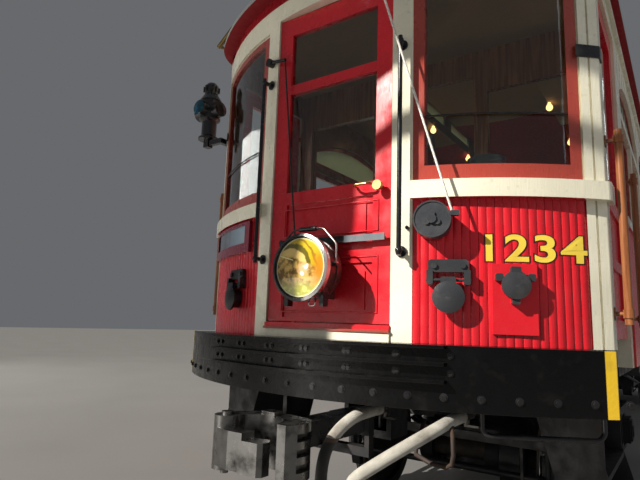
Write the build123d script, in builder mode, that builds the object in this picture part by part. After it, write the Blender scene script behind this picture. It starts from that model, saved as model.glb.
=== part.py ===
"""Wooden electric tram car on two trucks, in millimetres.

The frame stands with +Z up and the front end towards -Y. The origin is under the middle
of the car, level with the lowest points of the wheel flanges. Each piece is written to
parts/ under its own name. The rear end repeats the front one, turned half round.
"""
import os
from math import asin, cos, radians, sin, sqrt, tan

from build123d import *

os.makedirs("parts", exist_ok=True)

# Running gear
wheel_d = 864            # over the tread
flange_h = 25
wheel_back = 1360        # between the backs of the wheels
wheel_w = 127
axle_d = 140
journal_d = 110
journal_gap = 0.5        # round the journal in its box
journal_x = 965          # middle of the journal boxes
wheelbase = 2032
truck_y = 4420           # truck centres from the middle of the car
run_gap = 6              # between moving pieces

# Car body
body_w = 2640
wall_y = 7600            # crown of the bowed end wall from the middle of the car
bow_rise = 529
end_t = 60
side_t = 80
deck_z = 1360            # top of the bumper, foot of the end walls
floor_z = 1400
floor_t = 60
skirt_z = 1240           # foot of the side walls
plate_z = 3540           # top of the walls, under the roof
belt_lo, belt_hi = 709, 800          # belt rail above the deck
belt_out = 35            # it stands this far out of the end walls
side_belt_out = 26
head_lo, head_hi = 1974, 2090        # door head above the deck
panel_t = 15             # the boarded panels lie this far behind the posts

# Ends
door_half = 402          # half the end door's opening
post_w = 106             # width of the door posts
sill_h = 80
leaf_t = 40
leaf_set = 12.25         # the leaf's face behind the inner edges of the door posts
door_rail = 102          # width of the leaf's stiles
window_lap = 2           # the end sashes reach this far behind the door posts
corner_lap = 11          # and end this far before the corner posts
stile_in, stile_out = 55, 45         # their stiles next to the door and next to the corner
sash_lo, sash_hi = 800, 1920
glass_lo, glass_hi = 885, 1880
glass_t = 6

# Sides
corner_post = 100
corner_bend = 14         # rounding of the corner posts
groove_in, groove_w = 38, 8          # groove down each face of the corner posts
side_door_w = 760
leaf_gap = 4
bulkhead_t = 50
bays = 7
pier_w = 200
mullion_w = 86
side_sash_lo, side_sash_hi = 800, 1540
arch_lo, arch_spring, arch_top = 1600, 1740, 1930
sash_w = 48              # width of a side sash's stiles
sash_t = 32

# Roof
eave_out = 55            # past the side walls
hood_out = 80            # past the end walls
eave_t = 30
roof_t = 45
roof_top = 3800
hood_y = wall_y - 1300   # where the hood starts to fall
roof_bend = 400          # rounding of the roof's corners in plan
hood_steps = 5           # the hood's fall is made of so many bands
clear_w = 1280           # clerestory over its walls
clear_t = 40
clear_y = wall_y - 1750  # half length of its opening
clear_eave, clear_top = 3945, 4070
light_lo, light_hi = 3800, 3915      # clerestory lights
light_w = 620
lights = 14

# Bumper and coupler
bumper_out = 150
bumper_h = 285
bumper_t = 15
rib_out, rib_half, rib_t = 40, 720, 15
coupler_z = 900
coupler_pivot_y = wall_y - 650
shank = 120
head_y = wall_y + 280    # back of the coupler head
head_h = 230

half_w = body_w / 2
inner_w = half_w - side_t
axle_z = wheel_d / 2 + flange_h
bow_r = (half_w**2 + bow_rise**2) / (2 * bow_rise)
bow_mid = wall_y - bow_r
corner_y = wall_y - bow_rise
door_y1 = corner_y - corner_post     # side door opening, outer and inner ends
door_y0 = door_y1 - side_door_w
bulkhead_y = door_y0 - 50            # middle of the bulkhead
saloon_y = bulkhead_y - bulkhead_t / 2 - 75
bay = 2 * saloon_y / bays
sash_open = (bay - pier_w - mullion_w) / 2
leaf_lo = deck_z + 85
head_z = deck_z + head_lo
post_out = door_half + post_w
sash_in, sash_out = post_out - window_lap, inner_w - corner_lap
glass_in, glass_out = sash_in + stile_in, sash_out - stile_out
leaf_face = leaf_set - bow_mid - sqrt(bow_r**2 - door_half**2)
leaf_y = (leaf_face, leaf_face + leaf_t)
side_leaf_x = (inner_w + 22, inner_w + 22 + leaf_t)
coupler_low, coupler_high = coupler_z - head_h / 2, coupler_z + head_h / 2

# Door hinges: a barrel on the leaf's inner face between two on the post
hinge_r = 7
barrel_h = 40
barrel_gap = 0.3
end_hinge = (-door_half + 2, leaf_y[1] + hinge_r)
side_hinge = (side_leaf_x[0] - hinge_r, door_y0 + 1)
hinge_z = (deck_z + 250, deck_z + 1000, deck_z + 1750)


def bow_y(x, out=0.0):
    """How far from the car's middle the end wall's face lies at x, moved outwards by out."""
    return bow_mid + sqrt((bow_r + out) ** 2 - x * x)


def bow_plane(x, z, out=0.0):
    """Plane on the front end wall: x to the viewer's right, y up, z outwards."""
    turn = asin(x / bow_r)
    face = (sin(turn), -cos(turn))
    base_y = -bow_y(x)
    return Plane(
        origin=(x + out * face[0], base_y + out * face[1], z),
        x_dir=(cos(turn), sin(turn), 0),
        z_dir=(face[0], face[1], 0),
    )


def block(x, y, z, mode=Mode.ADD):
    """Box between three pairs of limits."""
    with Locations(((x[0] + x[1]) / 2, (y[0] + y[1]) / 2, (z[0] + z[1]) / 2)):
        Box(abs(x[1] - x[0]), abs(y[1] - y[0]), abs(z[1] - z[0]), mode=mode)


def bow_strip(x, outs, z, mode=Mode.ADD):
    """Strip that follows the front end wall between two x, two offsets and two heights."""
    (x0, x1), (inner, outer) = x, outs
    mid = (x0 + x1) / 2
    with BuildSketch(Plane.XY.offset(z[0])) as strip:
        with BuildLine():
            ThreePointArc((x0, -bow_y(x0, outer)), (mid, -bow_y(mid, outer)), (x1, -bow_y(x1, outer)))
            Line((x1, -bow_y(x1, outer)), (x1, -bow_y(x1, inner)))
            ThreePointArc((x1, -bow_y(x1, inner)), (mid, -bow_y(mid, inner)), (x0, -bow_y(x0, inner)))
            Line((x0, -bow_y(x0, inner)), (x0, -bow_y(x0, outer)))
        make_face()
    extrude(strip.sketch, amount=z[1] - z[0], mode=mode)


def plan_outline(side, end, z, corner=0.0):
    """Plan of the car with straight sides at half width side and bowed ends moved out by end."""
    y_end = bow_y(side, end)
    crown = bow_y(0, end)
    with BuildSketch(Plane.XY.offset(z)) as plan:
        with BuildLine():
            ThreePointArc((-side, -y_end), (0, -crown), (side, -y_end))
            Line((side, -y_end), (side, y_end))
            ThreePointArc((side, y_end), (0, crown), (-side, y_end))
            Line((-side, y_end), (-side, -y_end))
        make_face()
        if corner > 0:
            fillet(plan.vertices(), corner)
    return plan.sketch


def corner_ring(side_out, end_out, z, corner):
    """Band round the whole car between two heights, standing out of its sides and ends."""
    with BuildPart() as ring:
        extrude(plan_outline(half_w + side_out, end_out, z[0], corner), amount=z[1] - z[0])
        extrude(plan_outline(half_w, 0, z[0], corner_bend), amount=z[1] - z[0], mode=Mode.SUBTRACT)
    return ring.part


def rod(start, end, d, mode=Mode.ADD):
    """Round bar between two points."""
    along = Vector(*end) - Vector(*start)
    with BuildSketch(Plane(origin=start, z_dir=along)) as section:
        Circle(d / 2)
    extrude(section.sketch, amount=along.length, mode=mode)


def bent_rod(points, radius, d):
    """Round bar along a bent line, with every bend of one radius or one radius each."""
    with BuildLine() as path:
        FilletPolyline(*points, radius=radius)
    with BuildSketch(Plane(origin=path.line @ 0, z_dir=path.line % 0)) as section:
        Circle(d / 2)
    sweep(section.sketch, path=path.line)


def disc(plane, r, depth, mode=Mode.ADD):
    """Round boss on a plane."""
    with BuildSketch(plane) as face:
        Circle(r)
    extrude(face.sketch, amount=depth, mode=mode)


def lens_cap(plane, r, bulge):
    """Shallow dome on a plane, turned about its middle."""
    ball = (r**2 + bulge**2) / (2 * bulge)
    half = asin(r / ball) / 2
    with BuildPart() as cap:
        with BuildSketch(Plane(origin=plane.origin, x_dir=plane.x_dir, z_dir=-plane.y_dir)) as section:
            with BuildLine():
                Polyline((0, bulge), (0, 0), (r, 0))
                ThreePointArc((r, 0), (ball * sin(half), bulge - ball + ball * cos(half)), (0, bulge))
            make_face()
        revolve(section.sketch, axis=Axis(plane.origin, plane.z_dir))
    return cap.part


def plate(plane, w, h, depth, corner=0.0, mode=Mode.ADD):
    """Flat plate on a plane, with rounded corners where corner isn't nought."""
    with BuildSketch(plane) as face:
        if corner > 0:
            RectangleRounded(w, h, corner)
        else:
            Rectangle(w, h)
    extrude(face.sketch, amount=depth, mode=mode)


def post_barrels(x, y):
    """The post's two barrels at each hinge height, with a pocket for the leaf's barrel."""
    for z in hinge_z:
        disc(Plane(origin=(x, y, z - barrel_gap)), hinge_r + 1.5, barrel_h + 2 * barrel_gap,
             mode=Mode.SUBTRACT)
        disc(Plane(origin=(x, y, z - barrel_gap - barrel_h)), hinge_r, barrel_h)
        disc(Plane(origin=(x, y, z + barrel_gap + barrel_h)), hinge_r, barrel_h)


def leaf_barrels(x, y):
    """The leaf's barrel at each hinge height."""
    for z in hinge_z:
        disc(Plane(origin=(x, y, z)), hinge_r, barrel_h)


def save(part, name):
    """Label a finished piece and write it under its name."""
    part.label = name
    export_step(part, f"parts/{name}.step")


def turned(part):
    """The same piece at the other end of the car."""
    return part.rotate(Axis.Z, 180)


# Wheelsets: half a profile of (x, radius), turned about the axle and mirrored
wheel_in = wheel_back / 2
wheel_out = wheel_in + wheel_w
tread_r = wheel_d / 2
flange_r = tread_r + flange_h
rim_r = tread_r - 60
web_x = (wheel_in + 46, wheel_in + 76)
hub_x = (wheel_in - 20, wheel_out + 13)
hub_r = axle_d / 2 + 55
wheel_profile = [
    (0, 0),
    (0, axle_d / 2),
    (hub_x[0], axle_d / 2),
    (hub_x[0], hub_r),
    (web_x[0], hub_r),
    (web_x[0], rim_r),
    (wheel_in, rim_r),
    (wheel_in, flange_r - 8),
    (wheel_in + 10, flange_r),
    (wheel_in + 24, flange_r),
    (wheel_in + 36, tread_r + 2),
    (wheel_out, tread_r - 4),
    (wheel_out, rim_r),
    (web_x[1], rim_r),
    (web_x[1], hub_r),
    (hub_x[1], hub_r),
    (hub_x[1], axle_d / 2 - 10),
    (journal_x - 85, axle_d / 2 - 10),
    (journal_x - 85, journal_d / 2),
    (journal_x + 45, journal_d / 2),
    (journal_x + 45, 0),
]
axle_places = {
    "wheelset_1": -truck_y - wheelbase / 2,
    "wheelset_2": -truck_y + wheelbase / 2,
    "wheelset_3": truck_y - wheelbase / 2,
    "wheelset_4": truck_y + wheelbase / 2,
}
for name, y in axle_places.items():
    with BuildPart() as wheelset:
        with BuildSketch(Plane(origin=(0, y, axle_z), x_dir=(1, 0, 0), z_dir=(0, 0, 1))):
            with BuildLine():
                Polyline(*wheel_profile, close=True)
            make_face()
        revolve(axis=Axis((0, y, axle_z), (1, 0, 0)))
        mirror(about=Plane.YZ)
    save(wheelset.part, name)

# Trucks: side frames with pedestals, journal boxes, equalizers, springs, transoms and bolster
frame_x = (journal_x - 20, journal_x + 25)
frame_z = (640, 700)
frame_end = wheelbase / 2 + 544
pedestal_gap = 112
pedestal_foot, pedestal_head = 190, 240     # half widths
pedestal_low = 275
tie_z = (310, 337)
box_h = (345, 590)
lid_x = journal_x + 90
equalizer_x = (journal_x - 65, journal_x - 35)
equalizer_z = (350, 400)
spring_y = 450
spring_r = 78
bolster_z = (560, 760)
bolster_deep = 380       # half length of the bolster's deep middle
centre_z = 830
centre_r = 150
plank_z = (318, 345)
transom_y = (205, 235)
beam_y = wheelbase / 2 + flange_r + run_gap + 28
shoe_gap = run_gap
shoe_x = (wheel_in + 44, wheel_out - 5)
shoe_mid = 480             # from the axle out to the middle of a brake shoe
lever_x = 600
lever_z = (280, 720)
leaves = 4               # in each bow of an elliptic spring
leaf_thick = 12
leaf_half = (240, 195, 150, 105)


def side_frame():
    """The side frame on the viewer's right, with its boxes, equalizer and springs."""
    with BuildSketch(Plane.YZ.offset(frame_x[0])) as outline:
        with Locations((0, sum(frame_z) / 2)):
            Rectangle(2 * frame_end, frame_z[1] - frame_z[0])
        with Locations((0, sum(tie_z) / 2)):
            Rectangle(wheelbase - 2 * pedestal_gap, tie_z[1] - tie_z[0])
        for end in (-1, 1):
            y = end * wheelbase / 2
            with BuildLine():
                Polyline(
                    (y - pedestal_head, frame_z[0] + 5), (y + pedestal_head, frame_z[0] + 5),
                    (y + pedestal_foot, pedestal_low), (y - pedestal_foot, pedestal_low), close=True,
                )
            make_face()
            with Locations((y, (pedestal_low + 35 + frame_z[0] - 25) / 2)):
                Rectangle(2 * pedestal_gap, frame_z[0] - pedestal_low - 60, mode=Mode.SUBTRACT)
        with Locations((0, 485)):
            Rectangle(560, 330)
        with Locations((0, 480)):
            Rectangle(300, 230, mode=Mode.SUBTRACT)
        fillet(outline.vertices(), 9)
    extrude(outline.sketch, amount=frame_x[1] - frame_x[0])
    for end in (-1, 1):
        y = end * wheelbase / 2
        block((journal_x - 75, lid_x), (y - 105, y + 105), box_h)
        lid = Plane(origin=(lid_x, y, axle_z), x_dir=(0, 1, 0), z_dir=(1, 0, 0))
        plate(lid, 170, 190, 14, 20)
        plate(lid, 90, 110, 24, 20)
        rod((lid_x + 7, y - 70, axle_z + 100), (lid_x + 7, y + 70, axle_z + 100), 22)
        rod((journal_x - 80, y, axle_z), (journal_x + 50, y, axle_z), journal_d + 2 * journal_gap,
            mode=Mode.SUBTRACT)
    reach = wheelbase / 2
    with BuildSketch(Plane.YZ.offset(equalizer_x[0])) as bar:
        with BuildLine():
            Polyline(
                (-reach - 90, box_h[1]), (-reach - 90, box_h[1] + 45), (-reach + 120, box_h[1] + 45),
                (-reach + 330, equalizer_z[1]), (reach - 330, equalizer_z[1]),
                (reach - 120, box_h[1] + 45), (reach + 90, box_h[1] + 45), (reach + 90, box_h[1]),
                (reach - 150, box_h[1]), (reach - 350, equalizer_z[0]),
                (-reach + 350, equalizer_z[0]), (-reach + 150, box_h[1]), close=True,
            )
        make_face()
    extrude(bar.sketch, amount=equalizer_x[1] - equalizer_x[0])
    for y in (-spring_y, spring_y):
        coil_spring(journal_x - 50, y, equalizer_z[1], frame_z[0])


def coil_spring(x, y, low, high):
    """Coil spring as a stack of rounds between two heights, with a seat at each end."""
    turns = 5
    seat = 14
    pitch = (high - low - 2 * seat) / turns
    with BuildSketch(Plane(origin=(x, y, 0), x_dir=(1, 0, 0), z_dir=(0, -1, 0))) as coil:
        with Locations((spring_r / 2 + 8, low + seat / 2), (spring_r / 2 + 8, high - seat / 2)):
            Rectangle(spring_r + 16, seat)
        with Locations((spring_r / 2 - 10, (low + high) / 2)):
            Rectangle(spring_r - 20, high - low)
        for turn in range(turns):
            with Locations((spring_r - 16, low + seat + (turn + 0.5) * pitch)):
                Circle(pitch / 2 - 1.5)
    revolve(coil.sketch, axis=Axis((x, y, 0), (0, 0, 1)))


def elliptic_spring(x, y, low, high):
    """Full elliptic spring across the truck: two bows of stepped leaves between two heights."""
    middle = (low + high) / 2
    for up in (-1, 1):
        crown = (high if up > 0 else low) - up * leaves * leaf_thick
        fall = abs(crown - middle) + 2

        def line_z(reach, layer):
            return crown - up * fall * (reach / leaf_half[0]) ** 2 + up * layer * leaf_thick

        inner = [(x + side * reach, line_z(reach, 0)) for side, reach in
                 [(-1, r) for r in leaf_half] + [(1, 0)] + [(1, r) for r in reversed(leaf_half)]]
        outer = []
        for layer, reach in enumerate(leaf_half):
            outer.append((x + reach, line_z(reach, layer)))
            outer.append((x + reach, line_z(reach, layer + 1)))
        outer.append((x, line_z(0, leaves)))
        outer += [(2 * x - px, pz) for px, pz in reversed(outer[:-1])]
        with BuildSketch(Plane(origin=(0, y[0], 0), x_dir=(1, 0, 0), z_dir=(0, -1, 0))) as bow:
            with BuildLine():
                Polyline(*inner, *outer[1:-1], close=True)
            make_face()
        extrude(bow.sketch, amount=y[0] - y[1])


def truck_frame():
    """Whole truck frame about its own centre, with the front of the car at -Y."""
    with BuildPart() as truck:
        side_frame()
        for y in ((-112, -6), (6, 112)):
            elliptic_spring((bolster_deep + frame_x[0]) / 2, y, plank_z[1], bolster_z[0] + 60)
        mirror(about=Plane.YZ)
        for end in (-1, 1):
            block((-frame_x[0], frame_x[0]), (end * transom_y[0], end * transom_y[1]), (540, 700))
            block((-frame_x[0] - 5, frame_x[0] + 5), (end * (frame_end - 45), end * frame_end), frame_z)
            rod((-780, end * beam_y, axle_z - 20), (780, end * beam_y, axle_z - 20), 46)
            for side in (-1, 1):
                x = side * (shoe_x[0] + shoe_x[1]) / 2
                rod((x, end * beam_y, axle_z - 20), (x, end * (frame_end - 24), frame_z[0] + 10), 26)
                wheel = Plane(origin=(x, end * wheelbase / 2, axle_z), x_dir=(0, 1, 0), z_dir=(1, 0, 0))
                with BuildSketch(wheel) as shoe:
                    Circle(tread_r + shoe_gap + 42)
                    Circle(tread_r + shoe_gap, mode=Mode.SUBTRACT)
                    with Locations((end * shoe_mid, -20)):
                        Rectangle(220, 300, mode=Mode.INTERSECT)
                extrude(shoe.sketch, amount=(shoe_x[1] - shoe_x[0]) / 2, both=True)
                block((side * lever_x - 9, side * lever_x + 9), (end * beam_y - 28, end * beam_y + 28),
                      lever_z)
        for side in (-1, 1):
            rod((side * lever_x, -beam_y, lever_z[0] + 15), (side * lever_x, beam_y, lever_z[0] + 15), 26)
        block((-frame_x[0] - 5, frame_x[0] + 5), (-150, 150), (bolster_z[0] + 60, bolster_z[1] - 40))
        block((-bolster_deep, bolster_deep), (-150, 150), bolster_z)
        disc(Plane.XY.offset(bolster_z[1]), centre_r, centre_z - bolster_z[1])
        disc(Plane.XY.offset(bolster_z[0] - 10), 32, 400, mode=Mode.SUBTRACT)
        block((-frame_x[1], frame_x[1]), (-140, 140), plank_z)
    return truck.part


def truck_motors():
    """Two axle-hung motors of one truck, about the truck's centre."""
    axle_off = wheelbase / 2
    with BuildPart() as motors:
        for end in (-1, 1):
            axle_y = end * axle_off
            nose_y = end * transom_y[1]
            with BuildSketch(Plane.YZ.offset(-330)) as case:
                with Locations((end * (axle_off - 416), axle_z)):
                    RectangleRounded(560, 420, 90)
                with Locations((axle_y, axle_z)):
                    Circle(axle_d / 2 + 70)
                with Locations((axle_y, axle_z)):
                    Circle(axle_d / 2 + 3, mode=Mode.SUBTRACT)
            extrude(case.sketch, amount=660)
            block((-220, 220), (axle_y - 160, axle_y + 160), (axle_z - 150, axle_z + 150),
                  mode=Mode.SUBTRACT)
            block((-110, 110), (nose_y, end * (axle_off - 676)), (560, 640))
            with BuildSketch(Plane.YZ.offset(380)) as gear_case:
                with Locations((axle_y, axle_z)):
                    Circle(300)
                with Locations((end * (axle_off - 376), axle_z)):
                    Circle(140)
                with Locations((axle_y, axle_z)):
                    Circle(axle_d / 2 + 3, mode=Mode.SUBTRACT)
            extrude(gear_case.sketch, amount=150)
            block((330, 380), (end * (axle_off - 456), end * (axle_off - 316)), (axle_z - 60, axle_z + 60))
    return motors.part


frame_part = truck_frame()
motor_part = truck_motors()
for name, y in (("front", -truck_y), ("rear", truck_y)):
    save(frame_part.moved(Location((0, y, 0))), f"truck_{name}_frame")
    save(motor_part.moved(Location((0, y, 0))), f"truck_{name}_motors")

# Underframe: centre sills, side sills, buffer beams, body bolsters, bearers and truss rods
sill_x = 250
sill_z = (1120, deck_z - 20)
buffer_back = -160
queen_y, queen_z = 1400, 800
truss_x = half_w - 320
bearer_y = (-2800, -1400, 0, 1400, 2800)
bearer_z = (1180, deck_z - 20)
pipe_x, pipe_z, pipe_d = 420, 1050, 42
pocket_y = (-coupler_pivot_y - 110, -coupler_pivot_y + 110)
carrier_y = (-wall_y + 80, -wall_y + 130)
sill_end = wall_y - 250
with BuildPart() as end_frame:
    bow_strip((170 - half_w, half_w - 170), (buffer_back, 0), (1100, deck_z - 20))
    for side in (-1, 1):
        block((side * 90, side * (sill_x + 45)), (-wall_y + 200, -wall_y + 540), (1020, 1120))
        block((side * 130, side * 160), pocket_y, (790, 1120))
        block((side * 250, side * 275), carrier_y, (795, 1100))
    block((-160, 160), pocket_y, (coupler_z + shank / 2 + run_gap, 1120))
    block((-160, 160), pocket_y, (790, coupler_z - shank / 2 - run_gap))
    block((-275, 275), carrier_y, (795, coupler_z - shank / 2 - 0.3))
    rod((0, -coupler_pivot_y, 790), (0, -coupler_pivot_y, 1050), 50)
with BuildPart() as underframe:
    for side in (-1, 1):
        block((side * sill_x - 45, side * sill_x + 45), (-sill_end, sill_end), sill_z)
        block((side * (inner_w - 90), side * inner_w), (-door_y0 + 60, door_y0 - 60), (1180, 1340))
        bent_rod(
            [(side * truss_x, -truck_y, 1150), (side * truss_x, -queen_y, queen_z),
             (side * truss_x, queen_y, queen_z), (side * truss_x, truck_y, 1150)],
            120, 34,
        )
        for y in (-queen_y, queen_y):
            block((side * truss_x - 40, side * truss_x + 40), (y - 40, y + 40), (queen_z + 10, 1200))
    for y in bearer_y:
        block((-inner_w, inner_w), (y - 50, y + 50), bearer_z)
    for y in (-truck_y, truck_y):
        with BuildSketch(Plane(origin=(0, y - 170, 0), x_dir=(1, 0, 0), z_dir=(0, -1, 0))) as bolster:
            with BuildLine():
                Polyline((-inner_w, 1340), (-inner_w, 1120), (-centre_r - 60, 880), (centre_r + 60, 880),
                         (inner_w, 1120), (inner_w, 1340), close=True)
            make_face()
        extrude(bolster.sketch, amount=-340)
        for side in (-1, 1):
            block((side * (inner_w - 130), side * inner_w), (y - 100, y + 100), (1085, 1180))
        disc(Plane(origin=(0, y, centre_z + 0.3)), centre_r - 10, 60)
        rod((0, y, bolster_z[0] + 20), (0, y, centre_z + 10), 56)
        for side in (-1, 1):
            rod((side * pipe_x, y - 200, pipe_z), (side * pipe_x, y + 200, pipe_z), pipe_d + 1,
                mode=Mode.SUBTRACT)
    add(end_frame.part)
    add(turned(end_frame.part))
save(underframe.part, "underframe")

# Floor, with the step wells cut out at the four side doors
well_x = half_w - 400
with BuildPart() as floor:
    extrude(plan_outline(inner_w, -end_t, floor_z - floor_t), amount=floor_t)
    for sx in (-1, 1):
        for sy in (-1, 1):
            block((sx * well_x, sx * half_w), (sy * door_y0, sy * door_y1), (floor_z - 80, floor_z + 10),
                  mode=Mode.SUBTRACT)
save(floor.part, "floor")


# Side walls, each as thick as the whole wall, with doorways, sashes and arched lights cut
belt_ring = corner_ring(side_belt_out, belt_out, (deck_z + belt_lo, deck_z + belt_hi), 40)


def side_wall():
    """The wall on the viewer's right."""
    with BuildPart() as wall:
        block((inner_w, half_w), (-wall_y, wall_y), (skirt_z, plate_z))
        extrude(plan_outline(half_w, 0, skirt_z, corner_bend), amount=plate_z - skirt_z, mode=Mode.INTERSECT)
        for end in (-1, 1):
            block((inner_w - 5, half_w + 5), (end * door_y0, end * door_y1), (skirt_z - 5, head_z),
                  mode=Mode.SUBTRACT)
            block((inner_w - 5, half_w + 5), (end * door_y1, end * wall_y), (skirt_z - 5, deck_z),
                  mode=Mode.SUBTRACT)
            face_y = end * (corner_y - groove_in)
            block((half_w - groove_w, half_w + 5), (face_y - groove_w / 2, face_y + groove_w / 2),
                  (deck_z - 5, plate_z + 5), mode=Mode.SUBTRACT)
        for step in range(bays):
            y = -saloon_y + (step + 0.5) * bay
            for half in (-1, 1):
                near = y + half * mullion_w / 2
                far = near + half * sash_open
                block((inner_w - 5, half_w + 5), (near, far),
                      (deck_z + side_sash_lo, deck_z + side_sash_hi), mode=Mode.SUBTRACT)
            extrude(arch_face(y, inner_w - 5, 0), amount=side_t + 10, mode=Mode.SUBTRACT)
        for end in (-1, 1):
            post_barrels(side_hinge[0], end * side_hinge[1])
        bow_strip((half_w - groove_in - groove_w, half_w - groove_in), (-groove_w, 20),
                  (deck_z - 5, plate_z + 5), mode=Mode.SUBTRACT)
        block((half_w, half_w + side_belt_out), (-door_y0, door_y0), (deck_z + belt_lo + 40, deck_z + belt_hi))
        block((half_w, half_w + 20), (-corner_y + 20, corner_y - 20),
              (deck_z + head_hi - 20, deck_z + head_hi + 30))
        add(corner_belt)
    return wall.part


def arch_face(y, x, inset):
    """Outline of the arched light over one pair of windows, drawn in by inset."""
    half = bay / 2 - pier_w / 2 - inset
    low, spring, top = deck_z + arch_lo + inset, deck_z + arch_spring, deck_z + arch_top - inset
    with BuildSketch(Plane.YZ.offset(x)) as arch:
        with BuildLine():
            Polyline((y - half, spring), (y - half, low), (y + half, low), (y + half, spring))
            ThreePointArc((y + half, spring), (y, top), (y - half, spring))
        make_face()
    return arch.sketch


with BuildPart() as corner_space:
    for end in (-1, 1):
        block((inner_w, half_w + 100), (end * door_y1, end * (wall_y + 100)), (deck_z, plate_z))
with BuildPart() as belt_ends:
    add(belt_ring)
    add(corner_space.part, mode=Mode.INTERSECT)
corner_belt = belt_ends.part
right_wall = side_wall()
save(right_wall, "side_wall_right")
save(turned(right_wall), "side_wall_left")

# End walls: boarded panels between posts, the sashes and the doorway cut out
with BuildPart() as end_wall:
    bow_strip((-inner_w, inner_w), (-end_t, -panel_t), (deck_z, plate_z))
    for side in (-1, 1):
        edges = sorted((side * door_half, side * post_out))
        bow_strip(edges, (-panel_t, 0), (deck_z, deck_z + head_hi))
        edges = sorted((side * post_out, side * inner_w))
        bow_strip(edges, (-panel_t, belt_out), (deck_z + belt_lo, deck_z + belt_hi))
    bow_strip((-inner_w, inner_w), (-panel_t, 0), (deck_z + 1935, deck_z + head_hi))
    for side in (-1, 1):
        edges = sorted((side * sash_in, side * sash_out))
        bow_strip(edges, (-end_t - 20, 60), (deck_z + sash_lo, deck_z + sash_hi), mode=Mode.SUBTRACT)
    block((-door_half, door_half), (-wall_y - 50, -corner_y), (deck_z + sill_h, head_z), mode=Mode.SUBTRACT)
    bow_strip((-door_half, door_half), (-panel_t, 10), (deck_z, deck_z + sill_h))
    post_barrels(*end_hinge)
save(end_wall.part, "end_wall_front")
save(turned(end_wall.part), "end_wall_rear")

# Bulkheads between the vestibules and the saloon
with BuildPart() as bulkheads:
    for end in (-1, 1):
        edges = (end * bulkhead_y - bulkhead_t / 2, end * bulkhead_y + bulkhead_t / 2)
        through = (edges[0] - 5, edges[1] + 5)
        block((-inner_w, inner_w), edges, (floor_z, plate_z))
        block((-380, 380), through, (floor_z - 5, floor_z + 1950), mode=Mode.SUBTRACT)
        for side in (-1, 1):
            block((side * 480, side * (inner_w - 110)), through, (deck_z + 850, deck_z + 1850),
                  mode=Mode.SUBTRACT)
save(bulkheads.part, "bulkheads")


# Roof: plan, cross arch and hood line meet in one shell; the clerestory stands on it
def arch_line(side, low, spring, top, y):
    """Cross section of an arched roof at y, facing the rear."""
    with BuildSketch(Plane(origin=(0, y, 0), x_dir=(1, 0, 0), z_dir=(0, -1, 0))) as section:
        with BuildLine():
            Polyline((-side, spring), (-side, low), (side, low), (side, spring))
            ThreePointArc((side, spring), (0, top), (-side, spring))
        make_face()
    return section.sketch


def hood_line(end, shoulder, low, spring, top, x):
    """Side view of a roof that curves down at both ends."""
    bow = (end + shoulder) / 2 + 70
    rise = spring + (top - spring) * 0.72
    with BuildSketch(Plane.YZ.offset(x)) as section:
        with BuildLine():
            Polyline((-end, spring), (-end, low), (end, low), (end, spring))
            ThreePointArc((end, spring), (bow, rise), (shoulder, top))
            Line((shoulder, top), (-shoulder, top))
            ThreePointArc((-shoulder, top), (-bow, rise), (-end, spring))
        make_face()
    return section.sketch


def roof_form(inset):
    """The lower roof's form, drawn in by inset on every side but its foot, with turned hoods."""
    side = half_w + eave_out if inset == 0 else inner_w
    out = hood_out if inset == 0 else -end_t
    corner = roof_bend if inset == 0 else 0
    low, spring, top = plate_z - inset, plate_z + eave_t - inset, roof_top - inset
    rim, shoulder = wall_y + out - bow_mid + 30, hood_y - bow_mid
    fall = [(rim + (shoulder - rim) * step / hood_steps,
             spring - 9 + (top - spring + 9) * sin(radians(90 * step / hood_steps)))
            for step in range(hood_steps + 1)]
    with BuildPart() as hoods:
        block((-half_w - 100, half_w + 100), (-bow_mid, bow_mid), (low, top))
        for end in (-1, 1):
            with BuildSketch(Plane(origin=(0, end * bow_mid, 0), x_dir=(1, 0, 0), z_dir=(0, -1, 0))) as half:
                with BuildLine():
                    Polyline((0, top), (0, low), (rim, low), *fall, close=True)
                make_face()
            revolve(half.sketch, axis=Axis((0, end * bow_mid, 0), (0, 0, 1)))
    with BuildPart() as form:
        extrude(plan_outline(side, out, low, corner), amount=top - low)
        extrude(arch_line(side + 40, low, spring - 13, top, wall_y + 200), amount=2 * wall_y + 400,
                mode=Mode.INTERSECT)
        add(hoods.part, mode=Mode.INTERSECT)
    return form.part


roof_outer = roof_form(0)
with BuildPart() as lower_roof:
    add(roof_outer)
    add(roof_form(roof_t), mode=Mode.SUBTRACT)
    block((-clear_w / 2 + clear_t, clear_w / 2 - clear_t), (-clear_y, clear_y), (plate_z - 10, roof_top + 50),
          mode=Mode.SUBTRACT)
save(lower_roof.part, "lower_roof")

clear_half = clear_w / 2
clear_end = clear_y + 950
light_pitch = 2 * clear_y / lights
with BuildPart() as clerestory:
    extrude(arch_line(clear_half, roof_top - 200, clear_eave, clear_eave + 60, clear_end), amount=2 * clear_end)
    extrude(arch_line(clear_half + 45, clear_eave, clear_eave + 22, clear_top, clear_end), amount=2 * clear_end)
    extrude(hood_line(clear_end, clear_y - 100, roof_top - 200, roof_top - 110, clear_top, -clear_w),
            amount=2 * clear_w, mode=Mode.INTERSECT)
    block((-clear_half + clear_t, clear_half - clear_t), (-clear_y, clear_y), (roof_top - 210, clear_eave - 20),
          mode=Mode.SUBTRACT)
    add(roof_outer, mode=Mode.SUBTRACT)
    for step in range(lights):
        y = -clear_y + (step + 0.5) * light_pitch
        block((-clear_w, clear_w), (y - light_w / 2, y + light_w / 2), (light_lo, light_hi), mode=Mode.SUBTRACT)
save(clerestory.part, "clerestory")

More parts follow.
